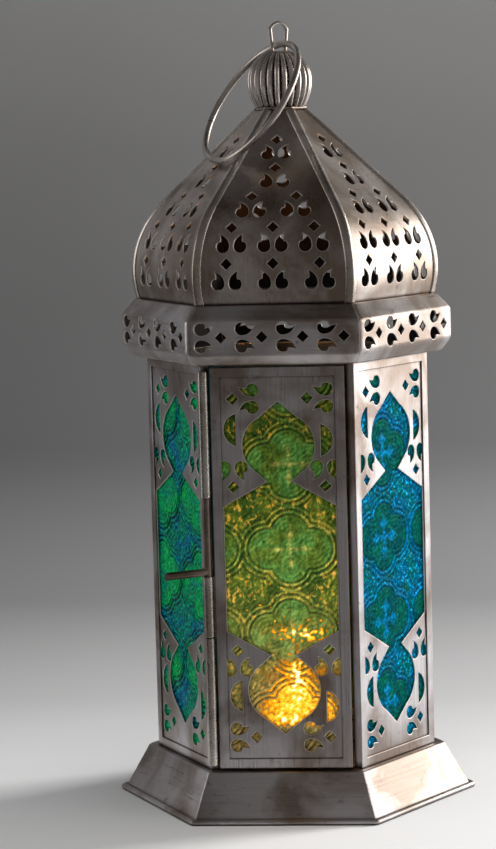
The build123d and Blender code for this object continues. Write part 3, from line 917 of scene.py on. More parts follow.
@dataclass(frozen=True)
class QuatrefoilPressing:
    """The pattern pressed into the panes: quatrefoils of four lobes with a cross in each. Sizes in mm."""

    pitch: Point = (31.6, 28.6)
    # Radius of a lobe, and how far its middle lies from the quatrefoil's.
    side_lobe: Point = (7.6, 7.3)
    end_lobe: Point = (7.0, 5.3)
    lobe_inset: float = 0.5
    lobe_fade: float = 0.15
    ripple_pitch: float = 1.45
    line_width: float = 0.32
    line_gap: float = 1.75
    outer_line: float = 0.7
    groove_width: float = 0.32
    groove_shifts: Place = (-0.75, 0.88, 2.5)
    groove_sunk: float = 0.3
    # Drawn coarser than the glass's own grain, so that it shows in a render.
    coarse_grain: Place = (1.0, 1.0, 3.7)
    fine_grain: Place = (0.55, 0.55, 9.1)
    fine_share: float = 0.7
    arm_half: float = 0.22
    arm_reach: float = 6.8
    arm_fades: Point = (0.16, 0.4)
    # How far an arm swells, where along it, and over what length.
    bud: Place = (0.55, 4.6, 1.0)
    heart: Point = (0.4, 1.1)
    cross_height: float = 0.85

    def marks(self, x: float, z: float, middle: Point, bold: float) -> dict[str, float]:
        """Read the pressed pattern at a place on a pane.

        Args:
            x: Place across the pane, in mm.
            z: Height, in mm.
            middle: Middle of one quatrefoil, in mm.
            bold: How heavy the cross in each quatrefoil is.

        Returns:
            Surface height from 0 to 1, and how far the place is lobe, groove, raised line and cross.
        """
        u = x - middle[0]
        v = z - middle[1]
        u = abs(u - floor(u / self.pitch[0] + 0.5) * self.pitch[0])
        v = abs(v - floor(v / self.pitch[1] + 0.5) * self.pitch[1])
        outside = min(hypot(u - self.side_lobe[1], v) - self.side_lobe[0],
                      hypot(u, v - self.end_lobe[1]) - self.end_lobe[0])
        outer = self.outer_line * bell(outside - self.line_gap, self.line_width)
        line = min(bell(outside, self.line_width) + outer, 1.0)
        groove = min(1.0, sum(bell(outside - shift, self.groove_width) for shift in self.groove_shifts))
        lobe = fade(outside + self.lobe_inset, self.lobe_fade)
        ripple = 0.5 + 0.5 * cos(2 * pi * outside / self.ripple_pitch)
        grain = speckle(x, z, self.coarse_grain) + self.fine_share * speckle(x, z, self.fine_grain)
        arm, across = max(u, v), min(u, v)
        bud, bud_place, bud_width = self.bud
        heart, heart_width = self.heart
        swell = self.arm_half + bud * bell(arm - bud_place, bud_width) + heart * bell(arm, heart_width)
        cross = fade(across - bold * swell, self.arm_fades[0]) * fade(arm - self.arm_reach, self.arm_fades[1])
        cross *= clamp(0.6 + 0.9 * grain, 0.15)
        ground = (1 - lobe) * (0.35 + 0.55 * grain) + lobe * (0.4 + 0.28 * grain + 0.24 * ripple)
        height = max(ground - self.groove_sunk * groove, line, self.cross_height * cross)
        return {"height": clamp(height), "lobe": lobe * (0.85 + 0.15 * ripple), "groove": 0.75 * groove,
                "line": 0.8 * line, "cross": 0.75 * cross}


@dataclass(frozen=True)
class DotPatch:
    """A patch of bright dots: its middle from the pool's and half size in mm, its gain and threshold."""

    middle: Point
    half: Point
    gain: float
    threshold: float = 0.0


@dataclass(frozen=True)
class CandleGlow:
    """The candle's light painted into the door's glass: a low pool with patches of bright dots. Sizes in mm.
    """

    place: Point = (6.0, 40.5)
    pool_half: float = 14.0
    pool_up: float = 12.0
    pool_down: float = 9.2
    coarse_speck: Place = (1.15, 0.95, 21.3)
    fine_speck: Place = (0.6, 0.6, 5.9)
    worm: Place = (1.9, 1.3, 33.0)
    worm_width: float = 0.17
    dot: Place = (1.35, 1.25, 14.2)
    dot_threshold: float = 0.02
    patches: tuple[DotPatch, ...] = (
        DotPatch((-1.3, 7.0), (3.0, 7.0), 3.4), DotPatch((-2.5, -7.4), (8.0, 1.7), 3.0),
        DotPatch((0.0, 22.0), (9.0, 2.2), 3.4, 0.04))
    # Height above the pool and half height of the flecks and of the halo.
    flecks: Point = (26.0, 12.0)
    fleck_threshold: float = 0.62
    fleck_gain: float = 2.0
    halo: Point = (30.0, 40.0)
    halo_strength: float = 0.09
    candle_tint_most: float = 0.9
    candle_tint_rise: float = 9.0
    candle_tint_fade: float = 10.0

    def strength(self, x: float, z: float, marks: dict[str, float]) -> float:
        """Read how strongly the candle's painted light glows at a place on the door's pane.

        Args:
            x: Place across the pane, in mm.
            z: Height, in mm.
            marks: The pressed pattern there.

        Returns:
            Strength from 0 to 1.
        """
        u, v = x - self.place[0], z - self.place[1]
        speck = speckle(x, z, self.coarse_speck) + 0.5 * speckle(x, z, self.fine_speck)
        worm = min(1.0, abs(speckle(x, z, self.worm)) / self.worm_width)
        dots = max(0.0, speckle(x, z, self.dot) - self.dot_threshold)
        pool = exp(-((u / self.pool_half) ** 4) - (v / (self.pool_up if v > 0 else self.pool_down)) ** 6)
        pressed = max(0.08, 0.2 + 0.36 * marks["lobe"] + 0.5 * marks["line"] - 0.6 * marks["groove"])
        light = pool * pressed * (0.42 + 0.58 * worm) * (1 + 0.7 * speck)
        for patch in self.patches:
            across, up = (u - patch.middle[0]) / patch.half[0], (v - patch.middle[1]) / patch.half[1]
            light += exp(-(across**2) - up**2) * min(1.0, patch.gain * max(0.0, dots - patch.threshold))
        fleck = max(0.0, speck - self.fleck_threshold) * self.fleck_gain
        light += bell(v - self.flecks[0], self.flecks[1]) * fleck
        light += self.halo_strength * bell(v - self.halo[0], self.halo[1])
        return min(1.0, light)

    def candle_tint_share(self, z: float) -> float:
        """How far the candle's painted light tints the glass towards a warm colour at a height in mm."""
        return self.candle_tint_most * fade(z - self.place[1] - self.candle_tint_rise, self.candle_tint_fade)


@dataclass(frozen=True)
class Pane:
    """One pane: its glass, a quatrefoil's middle in mm, the weight of its crosses, and whether the candle's
    light is painted into it.
    """

    glass: str
    middle: Point
    bold: float = 1.0
    lit: bool = False


PANES = {"front_right": Pane("blue_glass", (-4.4, 92.3), 2.7),
         "back_left": Pane("blue_glass", (6.0, 84.0), 2.7),
         "front_left": Pane("green_glass", (15.0, 77.7), 0.8),
         "back_right": Pane("green_glass", (2.0, 88.0), 0.8),
         "back": Pane("amber_glass", (-3.0, 80.0)),
         "door": Pane("amber_glass", (3.1, 91.1), lit=True)}


@dataclass
class Panels:
    """The six framed panels of fret and glass; the front one is the door. Sizes in mm."""

    body_corner: float = 49.3
    foot: float = 16.2
    height: float = 137.0
    border: float = 3.3
    flange: float = 0.5
    fret_sheet: float = 0.5
    glass: float = 1.5
    pane_clearance: float = 0.2
    # Gaps round the door: at the top, the foot, the hinge and the free edge.
    door_gaps: Quad = (0.8, 0.7, 0.55, 0.5)
    fold_round: float = 0.22
    fold_angle: float = 1.0
    punch_rim: float = 0.245
    window_drops: tuple[float, ...] = (11.7, 17.0, 27.5, 35.2, 38.4, 46.7)
    window_halves: tuple[float, ...] = (6.4, 12.0, 7.5, 3.9)
    window_margin: float = 0.4
    window_steps: int = 14
    motif: PunchedMotif = PunchedMotif()
    motif_places: tuple[Place, ...] = (
        (-9.3, 10.6, 90), (15.5, 10.6, 90), (-15.4, 34.4, 180), (15.4, 34.4, 180))
    moon_places: tuple[Place, ...] = ((-14.2, 20.9, 0), (14.2, 24.7, 180))
    pressing: QuatrefoilPressing = QuatrefoilPressing()
    glow: CandleGlow = CandleGlow()
    relief: float = 0.7
    # How far the relief's slope across and upwards paints the glass lighter and darker: painted light and
    # shade.
    relief_shade_shares: Point = (0.35, 0.5)
    pane_step: float = 0.42
    pane_crease: float = 60.0

    @property
    def face(self) -> float:
        """Distance from the axis to the panels' outer face, in mm."""
        return self.body_corner * FLAT

    @property
    def depth(self) -> float:
        """Depth of a panel's frame, in mm."""
        return 2 * self.flange + self.fret_sheet + self.glass

    def fixed_size(self) -> Quad:
        """Width, height, middle and level of a fixed panel, in mm."""
        return self.body_corner - 2 * self.depth * MITRE, self.height, 0.0, self.foot + self.height / 2

    def door_size(self) -> Quad:
        """Work out the door's size from its gaps.

        Returns:
            Width, height, middle and level of the door, in mm.
        """
        top, foot, hinge, free = self.door_gaps
        width = self.fixed_size()[0] - hinge - free
        height = self.height - top - foot
        return width, height, (hinge - free) / 2, self.foot + foot + height / 2

    def frame_mesh(self, size: Quad) -> BMesh:
        """Fold the channel frame of one panel on the front side.

        Args:
            size: Width, height, middle and level of the panel.

        Returns:
            The frame's mesh.
        """
        width, height, middle, level = size
        channel = ((0, 0), (self.border, 0), (self.border, self.flange), (self.flange, self.flange),
                   (self.flange, self.depth - self.flange), (self.border, self.depth - self.flange),
                   (self.border, self.depth), (0, self.depth))
        reach = width / 2
        mesh = bmesh.new()
        corner = [mesh.verts.new(((reach - inset) * sqrt(2), 0, -back)) for inset, back in channel]
        edges = [mesh.edges.new((a, b)) for a, b in zip(corner, corner[1:] + corner[:1])]
        bmesh.ops.rotate(mesh, verts=mesh.verts, cent=(0, 0, 0), matrix=Matrix.Rotation(pi / 4, 3, "Z"))
        spin_closed(mesh, corner + edges, steps=4)
        for vertex in mesh.verts:
            vertex.co.y += (height - width) / 2 * (1 if vertex.co.y > 0 else -1)
        bmesh.ops.recalc_face_normals(mesh, faces=mesh.faces)
        folds = [edge for edge in mesh.edges
                 if len(edge.link_faces) == 2 and edge.calc_face_angle(0.0) > self.fold_angle
                 and all(v.co.z > -self.flange / 2 or v.co.z < -self.depth + self.flange / 2
                         for v in edge.verts)]
        round_edges(mesh, folds, self.fold_round)
        for vertex in mesh.verts:
            x, up, out = vertex.co
            vertex.co = (x + middle, -(self.face + out), up + level)
        return mesh

    def fret_loops(self, width: float, height: float) -> list[Loop]:
        """Draw the fret's outline, window and punched figures about the panel's middle.

        Args:
            width: Width of the panel, in mm.
            height: Height of the panel, in mm.

        Returns:
            The outline first, then the holes.
        """
        top = height / 2
        edge = self.flange + self.pane_clearance
        tip, leaf, belly, waist, neck, shoulder = (top - drop for drop in self.window_drops)
        leaf_half, belly_half, waist_half, neck_half = self.window_halves
        window_half = width / 2 - self.border - self.window_margin
        upper = [(0.0, tip)]
        upper += arc_through((leaf_half, leaf), (belly_half, belly), (waist_half, waist), self.window_steps)
        upper += [(neck_half, neck), (window_half, shoulder)]
        right = upper + [(x, -y) for x, y in reversed(upper)]
        window = right + [(-x, y) for x, y in reversed(right[1:-1])]
        w, h = width / 2 - edge, height / 2 - edge
        loops = [[(-w, -h), (w, -h), (w, h), (-w, h)], window]
        figures = [(loop, place) for place in self.motif_places for loop in self.motif.loops()]
        figures += [(self.motif.moon(), place) for place in self.moon_places]
        for loop, (x, drop, turn) in figures:
            loops += [turned_loop(loop, x, top - drop, turn), turned_loop(loop, -x, drop - top, turn + 180)]
        return loops

    def fret_mesh(self, size: Quad) -> BMesh:
        """Punch the fret sheet of one panel on the front side.

        Args:
            size: Width, height, middle and level of the panel.

        Returns:
            The fret's mesh.
        """
        width, height, middle, level = size
        mesh = flat_sheet(self.fret_loops(width, height), self.fret_sheet, self.punch_rim)
        out = self.face - self.flange - self.fret_sheet / 2
        for vertex in mesh.verts:
            x, up, depth = vertex.co
            vertex.co = (x + middle, -(out + depth), up + level)
        return mesh

    def pane_mesh(self, size: Quad, pane: Pane) -> BMesh:
        """Press one pane on the front side, its relief behind the flat front plane.

        Args:
            size: Width, height, middle and level of the panel.
            pane: The pane's pattern and light.

        Returns:
            The pane's mesh, with its pattern, its painted relief shade and the candle's painted light in
            float layers.
        """
        width, height, centre, level = size
        rim = 2 * (self.flange + self.pane_clearance)
        w, h = width - rim, height - rim
        columns, rows = round(w / self.pane_step), round(h / self.pane_step)
        mesh = bmesh.new()
        layers = {name: mesh.verts.layers.float.new(name) for name in PANE_MARKS}
        bmesh.ops.create_grid(mesh, x_segments=columns, y_segments=rows, size=0.5)
        front = self.face - self.flange - self.fret_sheet
        border = [edge for edge in mesh.edges if edge.is_boundary]
        heights: dict[tuple[int, int], float] = {}
        cells: dict[BMVert, tuple[int, int]] = {}
        for vertex in mesh.verts:
            cells[vertex] = (round((vertex.co.x + 0.5) * columns), round((vertex.co.y + 0.5) * rows))
            x, z = vertex.co.x * w + centre, vertex.co.y * h + level
            marks = self.pressing.marks(x, z, pane.middle, pane.bold)
            heights[cells[vertex]] = marks["height"]
            vertex.co = (x, -(front - self.relief * (1 - marks["height"])), z)
            for name in PRESSED_MARKS:
                vertex[layers[name]] = marks[name]
            if pane.lit:
                # Painted light: the candle's glow and its warm tint are written into the door's glass.
                vertex[layers["glow"]] = self.glow.strength(x, z, marks)
                vertex[layers["warm"]] = self.glow.candle_tint_share(z)
        # Painted light and shade from the relief: lighter where it rises to the right, darker where it rises
        # upwards.
        for vertex, (column, row) in cells.items():
            here = heights[column, row]
            rise = heights.get((column + 1, row), here) - heights.get((column - 1, row), here)
            climb = heights.get((column, row + 1), here) - heights.get((column, row - 1), here)
            vertex[layers["tilt"]] = clamp(0.5 + self.relief_shade_shares[0] * rise - self.relief_shade_shares[1] * climb)
        walls = bmesh.ops.extrude_edge_only(mesh, edges=border)["geom"]
        for vertex in picked(walls, BMVert):
            vertex.co.y = -(front - self.glass)
            vertex[layers["inner"]] = 1.0
        back_edges = [edge for edge in picked(walls, BMEdge) if edge.is_boundary]
        bmesh.ops.edgeloop_fill(mesh, edges=back_edges)
        return mesh

    def build_panel(self, finishes: Finishes, naming: str, body: str, turn: float, pane: Pane) -> None:
        """Build and dress one panel's frame, fret and pane.

        Args:
            finishes: The lantern's finishes.
            naming: The nodes' names, with a gap for the kind of piece.
            body: Body that carries the panel.
            turn: Turn about the lantern's axis, in degrees.
            pane: The panel's glass.
        """
        size = self.door_size() if body == "door" else self.fixed_size()
        glass = getattr(finishes, pane.glass)
        tin = finishes.panel_tin
        pieces = (("frame", self.frame_mesh(size), "antiqued_tin", tin, SHEET_CREASE, ()),
                  ("fret", self.fret_mesh(size), "antiqued_tin", tin, SHEET_CREASE, finishes.cut_sheet()),
                  ("pane", self.pane_mesh(size, pane), pane.glass, glass, self.pane_crease, ()))
        for kind, mesh, slot, material, crease, others in pieces:
            node = naming.format(kind)
            turn_mesh(mesh, turn)
            finish_piece(mesh, f"{node}_skin", body, material, (node,), crease, others)

    def build(self, finishes: Finishes) -> None:
        """Build the five fixed panels and the door, and dress the solder between them.

        Args:
            finishes: The lantern's finishes.
        """
        for side, turn in SIDE_TURNS.items():
            self.build_panel(finishes, "{}_" + side, "lantern", turn, PANES[side])
        self.build_panel(finishes, "door_{}", "door", 0, PANES["door"])
        for corner in ("right", "back_right", "back_left", "left"):
            dress_node(f"solder_{corner}", finishes.solder)


@dataclass
class Plinth:
    """Sloped hexagonal base with a rolled rim and a ledge. Sizes in mm."""

    rim_corner: float = 62.5
    bead: float = 2.2
    sole: float = 0.2
    height: float = 16.2
    top_corner: float = 52.15
    sheet: float = 0.6
    ledge_inner: float = 35.995
    ledge_round: Point = (0.4, 0.25)
    tuck: float = 0.75
    # Where the skirt meets the bead, as a share of its radius, and the angles that the bead leaves open.
    bead_joint: float = 0.75
    bead_start: float = 0.1
    bead_open: float = 1.25
    bead_parts: int = 30
    worn_corner: float = 0.9
    corner_angle: float = 0.3

    def build(self, finishes: Finishes) -> None:
        """Spin the plinth's section round six corners and dress it.

        Args:
            finishes: The lantern's finishes.
        """
        radius = self.bead / 2
        middle = Vector((self.rim_corner * FLAT - radius, radius - self.sole))
        top = self.top_corner * FLAT
        foot = Vector((middle.x - self.tuck, middle.y + radius * self.bead_joint))
        first = atan2(foot.y - middle.y, foot.x - middle.x) - self.bead_start
        sweep = 2 * pi - self.bead_open
        bearings = [first - sweep * k / self.bead_parts for k in range(self.bead_parts + 1)]
        bead = [(middle.x + radius * cos(a), max(0.0, middle.y + radius * sin(a))) for a in bearings]
        ledge_foot = self.height - self.sheet
        section = [(self.ledge_inner, ledge_foot), (self.ledge_inner, self.height),
                   (top - self.ledge_round[0], self.height), (top, self.height - self.ledge_round[1]),
                   tuple(foot), *bead, (top - self.sheet, ledge_foot)]
        mesh = bmesh.new()
        loop = [mesh.verts.new((out / FLAT, 0, up)) for out, up in section]
        edges = [mesh.edges.new((a, b)) for a, b in zip(loop, loop[1:] + loop[:1])]
        spin_closed(mesh, loop + edges, steps=6)
        bmesh.ops.recalc_face_normals(mesh, faces=mesh.faces)
        corners = [edge for edge in mesh.edges
                   if edge.is_convex and edge.calc_face_angle(0.0) > self.corner_angle
                   and abs(edge.verts[0].co.xy.angle_signed(edge.verts[1].co.xy)) < 1e-3]
        round_edges(mesh, corners, self.worn_corner)
        finish_piece(mesh, "base_skirt_skin", "lantern", finishes.band_tin, ("base_skirt",))
        dress_node("base_floor", finishes.band_tin)


@dataclass
class Cornice:
    """Pierced hollow band between the panels and the dome. Sizes in mm."""

    foot: float = 153.2
    inner: float = 39.695
    lip_corner: float = 54.0
    face_corner: float = 57.4
    neck_corner: float = 52.6
    curl: float = 4.2
    face: float = 10.6
    height: float = 19.9
    seat: float = 4.6
    bends: tuple[float, ...] = (2.0, 4.0, 2.6, 1.6)
    bend_step: float = 0.4
    sheet: float = 0.6
    motifs: int = 4
    pitch: float = 13.6
    rim: float = 0.2
    corner_radius: float = 3.6
    corner_cuts: tuple[float, ...] = (1.0, 0.66, 0.33)
    motif: PunchedMotif = PunchedMotif()

    def round_ends(self, side: BMesh) -> None:
        """Draw a side's two mitred ends in, so that the band bends round its corners.

        Args:
            side: The front side's mesh, bent but not yet turned.
        """
        depth = self.corner_radius * sin(HALF_SIDE)
        pull = self.corner_radius * (1 / cos(HALF_SIDE) - 1)
        for hand in (-1, 1):
            out = Vector((hand * cos(HALF_SIDE), sin(HALF_SIDE), 0))
            corner = Vector((hand * sin(HALF_SIDE), -cos(HALF_SIDE), 0))
            for share in self.corner_cuts:
                bmesh.ops.bisect_plane(side, geom=side.verts[:] + side.edges[:] + side.faces[:], dist=MERGE,
                                       plane_co=out * -depth * share, plane_no=out)
            for vertex in side.verts:
                near = max(0.0, 1 + out.dot(vertex.co) / depth)
                vertex.co -= corner * pull * near ** 2

    def build(self, finishes: Finishes) -> None:
        """Bend and punch six sides and join them into one band.

        Args:
            finishes: The lantern's finishes.
        """
        lip, face, neck = (corner * FLAT for corner in (self.lip_corner, self.face_corner, self.neck_corner))
        top = self.foot + self.height
        curl_top = self.foot + self.curl
        corners = [(self.inner, self.foot), (lip, self.foot), (face, curl_top), (face, curl_top + self.face),
                   (neck, top), (neck - self.seat, top)]
        profile = FoldedProfile(corners, list(self.bends), self.bend_step)
        level = sum(run.length for run in profile.runs[:4]) + profile.runs[4].length / 2
        first = -self.pitch * (self.motifs - 1) / 2 - self.motif.diamond_rise / 2
        holes = [turned_loop(loop, first + k * self.pitch, level, -90)
                 for k in range(self.motifs) for loop in self.motif.loops()]
        sides = []
        for k in range(6):
            side = flat_sheet([mitred_outline(profile), *holes], self.sheet, self.rim)
            bend_sheet(side, profile, self.sheet)
            self.round_ends(side)
            turn_mesh(side, 60 * k)
            sides.append(side)
        finish_piece(join_meshes(sides), "cornice_band_skin", "lantern", finishes.band_tin,
                     ("cornice_band",), others=finishes.cut_sheet())


@dataclass
class Dome:
    """Six pierced gores with folded seam strips, under a hexagonal plate. Sizes in mm."""

    base: float = 173.1
    sunk: float = 0.6
    height: float = 63.9
    foot: float = 43.9
    hip: float = 36.0
    hip_height: float = 33.1
    crown: float = 7.5
    sheet: float = 0.6
    bend_step: float = 0.9
    row_start: float = 8.7
    row_pitch: float = 12.5
    rows: tuple[tuple[int, float], ...] = ((3, 15.5), (3, 13.7), (2, 14.9), (1, 0.0), (1, 0.0))
    plate: float = 0.8
    plate_corner: float = 9.2
    plate_round: float = 0.25
    rib_half: float = 1.95
    rib_rise: float = 0.55
    rib_round: float = 0.5
    rib_parts: int = 7
    rim: float = 0.2
    motif: PunchedMotif = PunchedMotif()

    def profile(self) -> FoldedProfile:
        """Work out the section of the gores' outer face.

        Returns:
            The section, from the cornice up to the plate.
        """
        foot = Vector((self.foot, self.base - self.sunk))
        hip = Vector((self.hip, self.base + self.hip_height))
        crown = Vector((self.crown, self.base + self.height))
        slope = (hip - crown).normalized()
        chord = foot - hip
        half = slope.angle(chord)
        radius = chord.length / (2 * sin(half))
        apex = hip + slope * radius * tan(half)
        return FoldedProfile([tuple(foot), tuple(apex), tuple(crown)], [radius], self.bend_step)

    def gore_mesh(self, profile: FoldedProfile) -> BMesh:
        """Punch and bend the front gore.

        Args:
            profile: Section of the dome.

        Returns:
            The gore's mesh.
        """
        holes = []
        for row, (count, spacing) in enumerate(self.rows):
            level = self.row_start + row * self.row_pitch
            for k in range(count):
                x = spacing * (k - (count - 1) / 2)
                holes += [turned_loop(loop, x, level, 0) for loop in self.motif.loops()]
        gore = flat_sheet([mitred_outline(profile), *holes], self.sheet, self.rim)
        bend_sheet(gore, profile, self.sheet)
        return gore

    def rib_mesh(self, profile: FoldedProfile) -> BMesh:
        """Fold the seam strip over the corner to the right of the front gore.

        Args:
            profile: Section of the dome.

        Returns:
            The strip's mesh.
        """
        parts = self.rib_parts
        asides = [self.rib_half * k / parts for k in range(-parts, parts + 1)]
        over = [(a, self.rib_rise * (1 - (a / self.rib_half) ** 4)
                 - (hypot(a, self.rib_round) - self.rib_round) * MITRE) for a in asides]
        under = [(a, -abs(a) * MITRE) for a in reversed(asides[::parts])]
        contour = over + under
        mesh = bmesh.new()
        ring = bmesh.ops.create_circle(mesh, segments=len(contour), radius=1.0, cap_ends=False)["verts"]
        edges = mesh.edges[:]
        for mark in profile.levels():
            point, normal = profile.at(mark)
            lean = Vector((normal.x, normal.y / FLAT)).normalized()
            for vertex, (aside, rise) in zip(ring, contour):
                vertex.co = (aside, -(point.x / FLAT + rise * lean.x), point.y + rise * lean.y)
            if mark < profile.length - 1e-6:
                fresh = bmesh.ops.extrude_edge_only(mesh, edges=edges)["geom"]
                edges = [edge for edge in picked(fresh, BMEdge) if edge.is_boundary]
                verts = set(picked(fresh, BMVert))
                ring = [next(e.other_vert(v) for e in v.link_edges if e.other_vert(v) in verts) for v in ring]
        bmesh.ops.holes_fill(mesh, edges=mesh.edges)
        turn_mesh(mesh, CORNER_TURN)
        return mesh

    def build(self, finishes: Finishes) -> None:
        """Build and dress the gores, the seam strips and the plate.

        Args:
            finishes: The lantern's finishes.
        """
        profile = self.profile()
        for side, turn in {"front": 0, **SIDE_TURNS}.items():
            gore = self.gore_mesh(profile)
            turn_mesh(gore, turn)
            finish_piece(gore, f"gore_{side}_skin", "lantern", finishes.dome_tin,
                         (f"gore_{side}",), others=finishes.cut_sheet())
        for corner, turn in CORNER_TURNS.items():
            rib = self.rib_mesh(profile)
            turn_mesh(rib, turn)
            finish_piece(rib, f"rib_{corner}_skin", "lantern", finishes.bead_tin,
                         (f"rib_{corner}",), ROUND_CREASE)
        plate = bmesh.new()
        place = Matrix.Translation((0, 0, self.base + self.height + self.plate / 2))
        bmesh.ops.create_cone(plate, cap_ends=True, segments=6, radius1=self.plate_corner,
                              radius2=self.plate_corner, depth=self.plate, matrix=place)
        round_edges(plate, plate.edges[:], self.plate_round)
        turn_mesh(plate, CORNER_TURN)
        finish_piece(plate, "crown_plate_skin", "lantern", finishes.dome_tin,
                     ("crown_plate",), ROUND_CREASE)


@dataclass
class Finial:
    """Fluted ball, wire eye and carrying ring. Sizes in mm."""

    base: float = 237.8
    foot: float = 8.6
    radius: float = 11.1
    crown: float = 3.5
    lower: float = 9.0
    upper: float = 9.9
    lower_steps: int = 12
    upper_steps: int = 18
    flutes: int = 24
    flute_depth: float = 1.5
    flute_steps: int = 10
    flute_roundness: float = 0.8
    ball_crease: float = 50.0
    eye_wire: float = 1.1
    eye_span: float = 4.7
    eye_height: float = 10.2
    eye_swell: float = 0.45
    eye_sunk: float = 1.0
    eye_steps: int = 24
    wire_segments: int = 20
    ring_radius: float = 23.5
    ring_wire: float = 2.2
    ring_clearance: float = 0.35
    ring_lean: float = 34.3
    ring_bearing: float = -146.9
    ring_shift: float = 3.7
    ring_slit: float = 0.3
    ring_slit_bearing: float = 200.0
    ring_steps: int = 120

    def ball_mesh(self) -> BMesh:
        """Spin the ball's outline and press its flutes in.

        Returns:
            The ball's mesh.
        """
        foot_angle, crown_angle = acos(self.foot / self.radius), acos(self.crown / self.radius)
        waist = self.base + self.lower
        outline = [(0.0, self.base)]
        for k in range(self.lower_steps + 1):
            angle = -foot_angle * (1 - k / self.lower_steps)
            outline.append((self.radius * cos(angle), waist + self.lower * sin(angle) / sin(foot_angle)))
        for k in range(1, self.upper_steps + 1):
            angle = crown_angle * k / self.upper_steps
            outline.append((self.radius * cos(angle), waist + self.upper * sin(angle) / sin(crown_angle)))
        outline.append((0.0, waist + self.upper))
        mesh = bmesh.new()
        line = [mesh.verts.new((out, 0, up)) for out, up in outline]
        edges = [mesh.edges.new(pair) for pair in zip(line, line[1:])]
        spin_closed(mesh, line + edges, self.flutes * self.flute_steps)
        for vertex in mesh.verts:
            wave = abs(cos(self.flutes / 2 * atan2(vertex.co.y, vertex.co.x)))
            share = 1 - self.flute_depth / self.radius * (1 - wave**self.flute_roundness)
            vertex.co.x *= share
            vertex.co.y *= share
        return mesh

    def eye_mesh(self) -> BMesh:
        """Bend the wire eye on the ball's crown.

        Returns:
            The eye's mesh.
        """
        top = self.base + self.lower + self.upper
        leg = self.eye_height - self.eye_wire / 2 - self.eye_span / 2
        half = self.eye_span / 2
        mesh = bmesh.new()
        ring = bmesh.ops.create_circle(mesh, segments=self.wire_segments, radius=self.eye_wire / 2,
                                       cap_ends=False)["verts"]
        bmesh.ops.translate(mesh, verts=ring, vec=(half, 0, top - self.eye_sunk))
        edges = list({edge for vertex in ring for edge in vertex.link_edges})
        lift = bmesh.ops.extrude_edge_only(mesh, edges=edges)["geom"]
        verts = picked(lift, BMVert)
        bmesh.ops.translate(mesh, verts=verts, vec=(0, 0, leg + self.eye_sunk))
        loop = [edge for edge in picked(lift, BMEdge) if all(v in verts for v in edge.verts)]
        bow = bmesh.ops.spin(mesh, geom=verts + loop, cent=(0, 0, top + leg), axis=(0, -1, 0), angle=pi,
                             steps=self.eye_steps)["geom_last"]
        drop = bmesh.ops.extrude_edge_only(mesh, edges=picked(bow, BMEdge))["geom"]
        bmesh.ops.translate(mesh, verts=picked(drop, BMVert), vec=(0, 0, -leg - self.eye_sunk))
        bmesh.ops.holes_fill(mesh, edges=mesh.edges)
        for vertex in mesh.verts:
            rise = min(max((vertex.co.z - top) / self.eye_height, 0.0), 1.0)
            vertex.co.x *= 1 + self.eye_swell * sin(pi * rise)
        turn_mesh(mesh, self.ring_bearing)
        return mesh

    def ring_frame(self) -> Matrix:
        """Work out where the carrying ring leans.

        Returns:
            Placement of the ring's middle, with X along the eye's gap and Z its normal.
        """
        lean, bearing = radians(self.ring_lean), radians(self.ring_bearing)
        out = Vector((cos(bearing), sin(bearing), 0))
        along = Vector((-out.y, out.x, 0))
        hang = sqrt(self.ring_radius**2 - self.ring_shift**2)
        near = sqrt(self.ring_radius**2 - (self.ring_shift + self.crown) ** 2)
        crown = self.base + self.lower + self.upper
        level = crown + self.ring_clearance + self.ring_wire / 2 + (hang - near) * cos(lean)
        middle = along * self.ring_shift + out * hang * sin(lean) + Vector((0, 0, level - hang * cos(lean)))
        normal = out * cos(lean) + Vector((0, 0, sin(lean)))
        cross = normal.cross(along)
        return Matrix.LocRotScale(middle, Matrix((along, cross, normal)).transposed(), None)

    def ring_mesh(self) -> BMesh:
        """Bend the carrying ring, with its butt joint.

        Returns:
            The ring's mesh.
        """
        mesh = bmesh.new()
        section = bmesh.ops.create_circle(mesh, segments=self.wire_segments, radius=self.ring_wire / 2,
                                          cap_ends=False)["verts"]
        bmesh.ops.rotate(mesh, verts=section, cent=(0, 0, 0), matrix=Matrix.Rotation(pi / 2, 3, "X"))
        bmesh.ops.translate(mesh, verts=section, vec=(self.ring_radius, 0, 0))
        edges = list({edge for vertex in section for edge in vertex.link_edges})
        bmesh.ops.spin(mesh, geom=section + edges, cent=(0, 0, 0), axis=(0, 0, 1),
                       angle=2 * pi - self.ring_slit / self.ring_radius, steps=self.ring_steps)
        bmesh.ops.holes_fill(mesh, edges=mesh.edges)
        turn_mesh(mesh, self.ring_slit_bearing)
        bmesh.ops.transform(mesh, matrix=self.ring_frame(), verts=mesh.verts)
        return mesh

    def build(self, finishes: Finishes) -> None:
        """Build and dress the ball, the eye and the ring.

        Args:
            finishes: The lantern's finishes.
        """
        finish_piece(self.ball_mesh(), "finial_ball_skin", "lantern", finishes.spun_tin,
                     ("finial_ball",), self.ball_crease)
        finish_piece(self.eye_mesh(), "hanger_eye_skin", "lantern", finishes.wire,
                     ("hanger_eye",), ROUND_CREASE)
        finish_piece(self.ring_mesh(), "carry_ring_skin", "carry_ring", finishes.wire,
                     ("carry_ring",), ROUND_CREASE)


@dataclass(frozen=True)
class Barrel:
    """One rolled barrel: its body, foot level and length in mm, and its leaf.

    The leaf is given by its bearing in degrees, its middle to the left of that line and its thickness, in mm.
    """

    name: str
    body: str
    base: float
    length: float
    leaf: Place


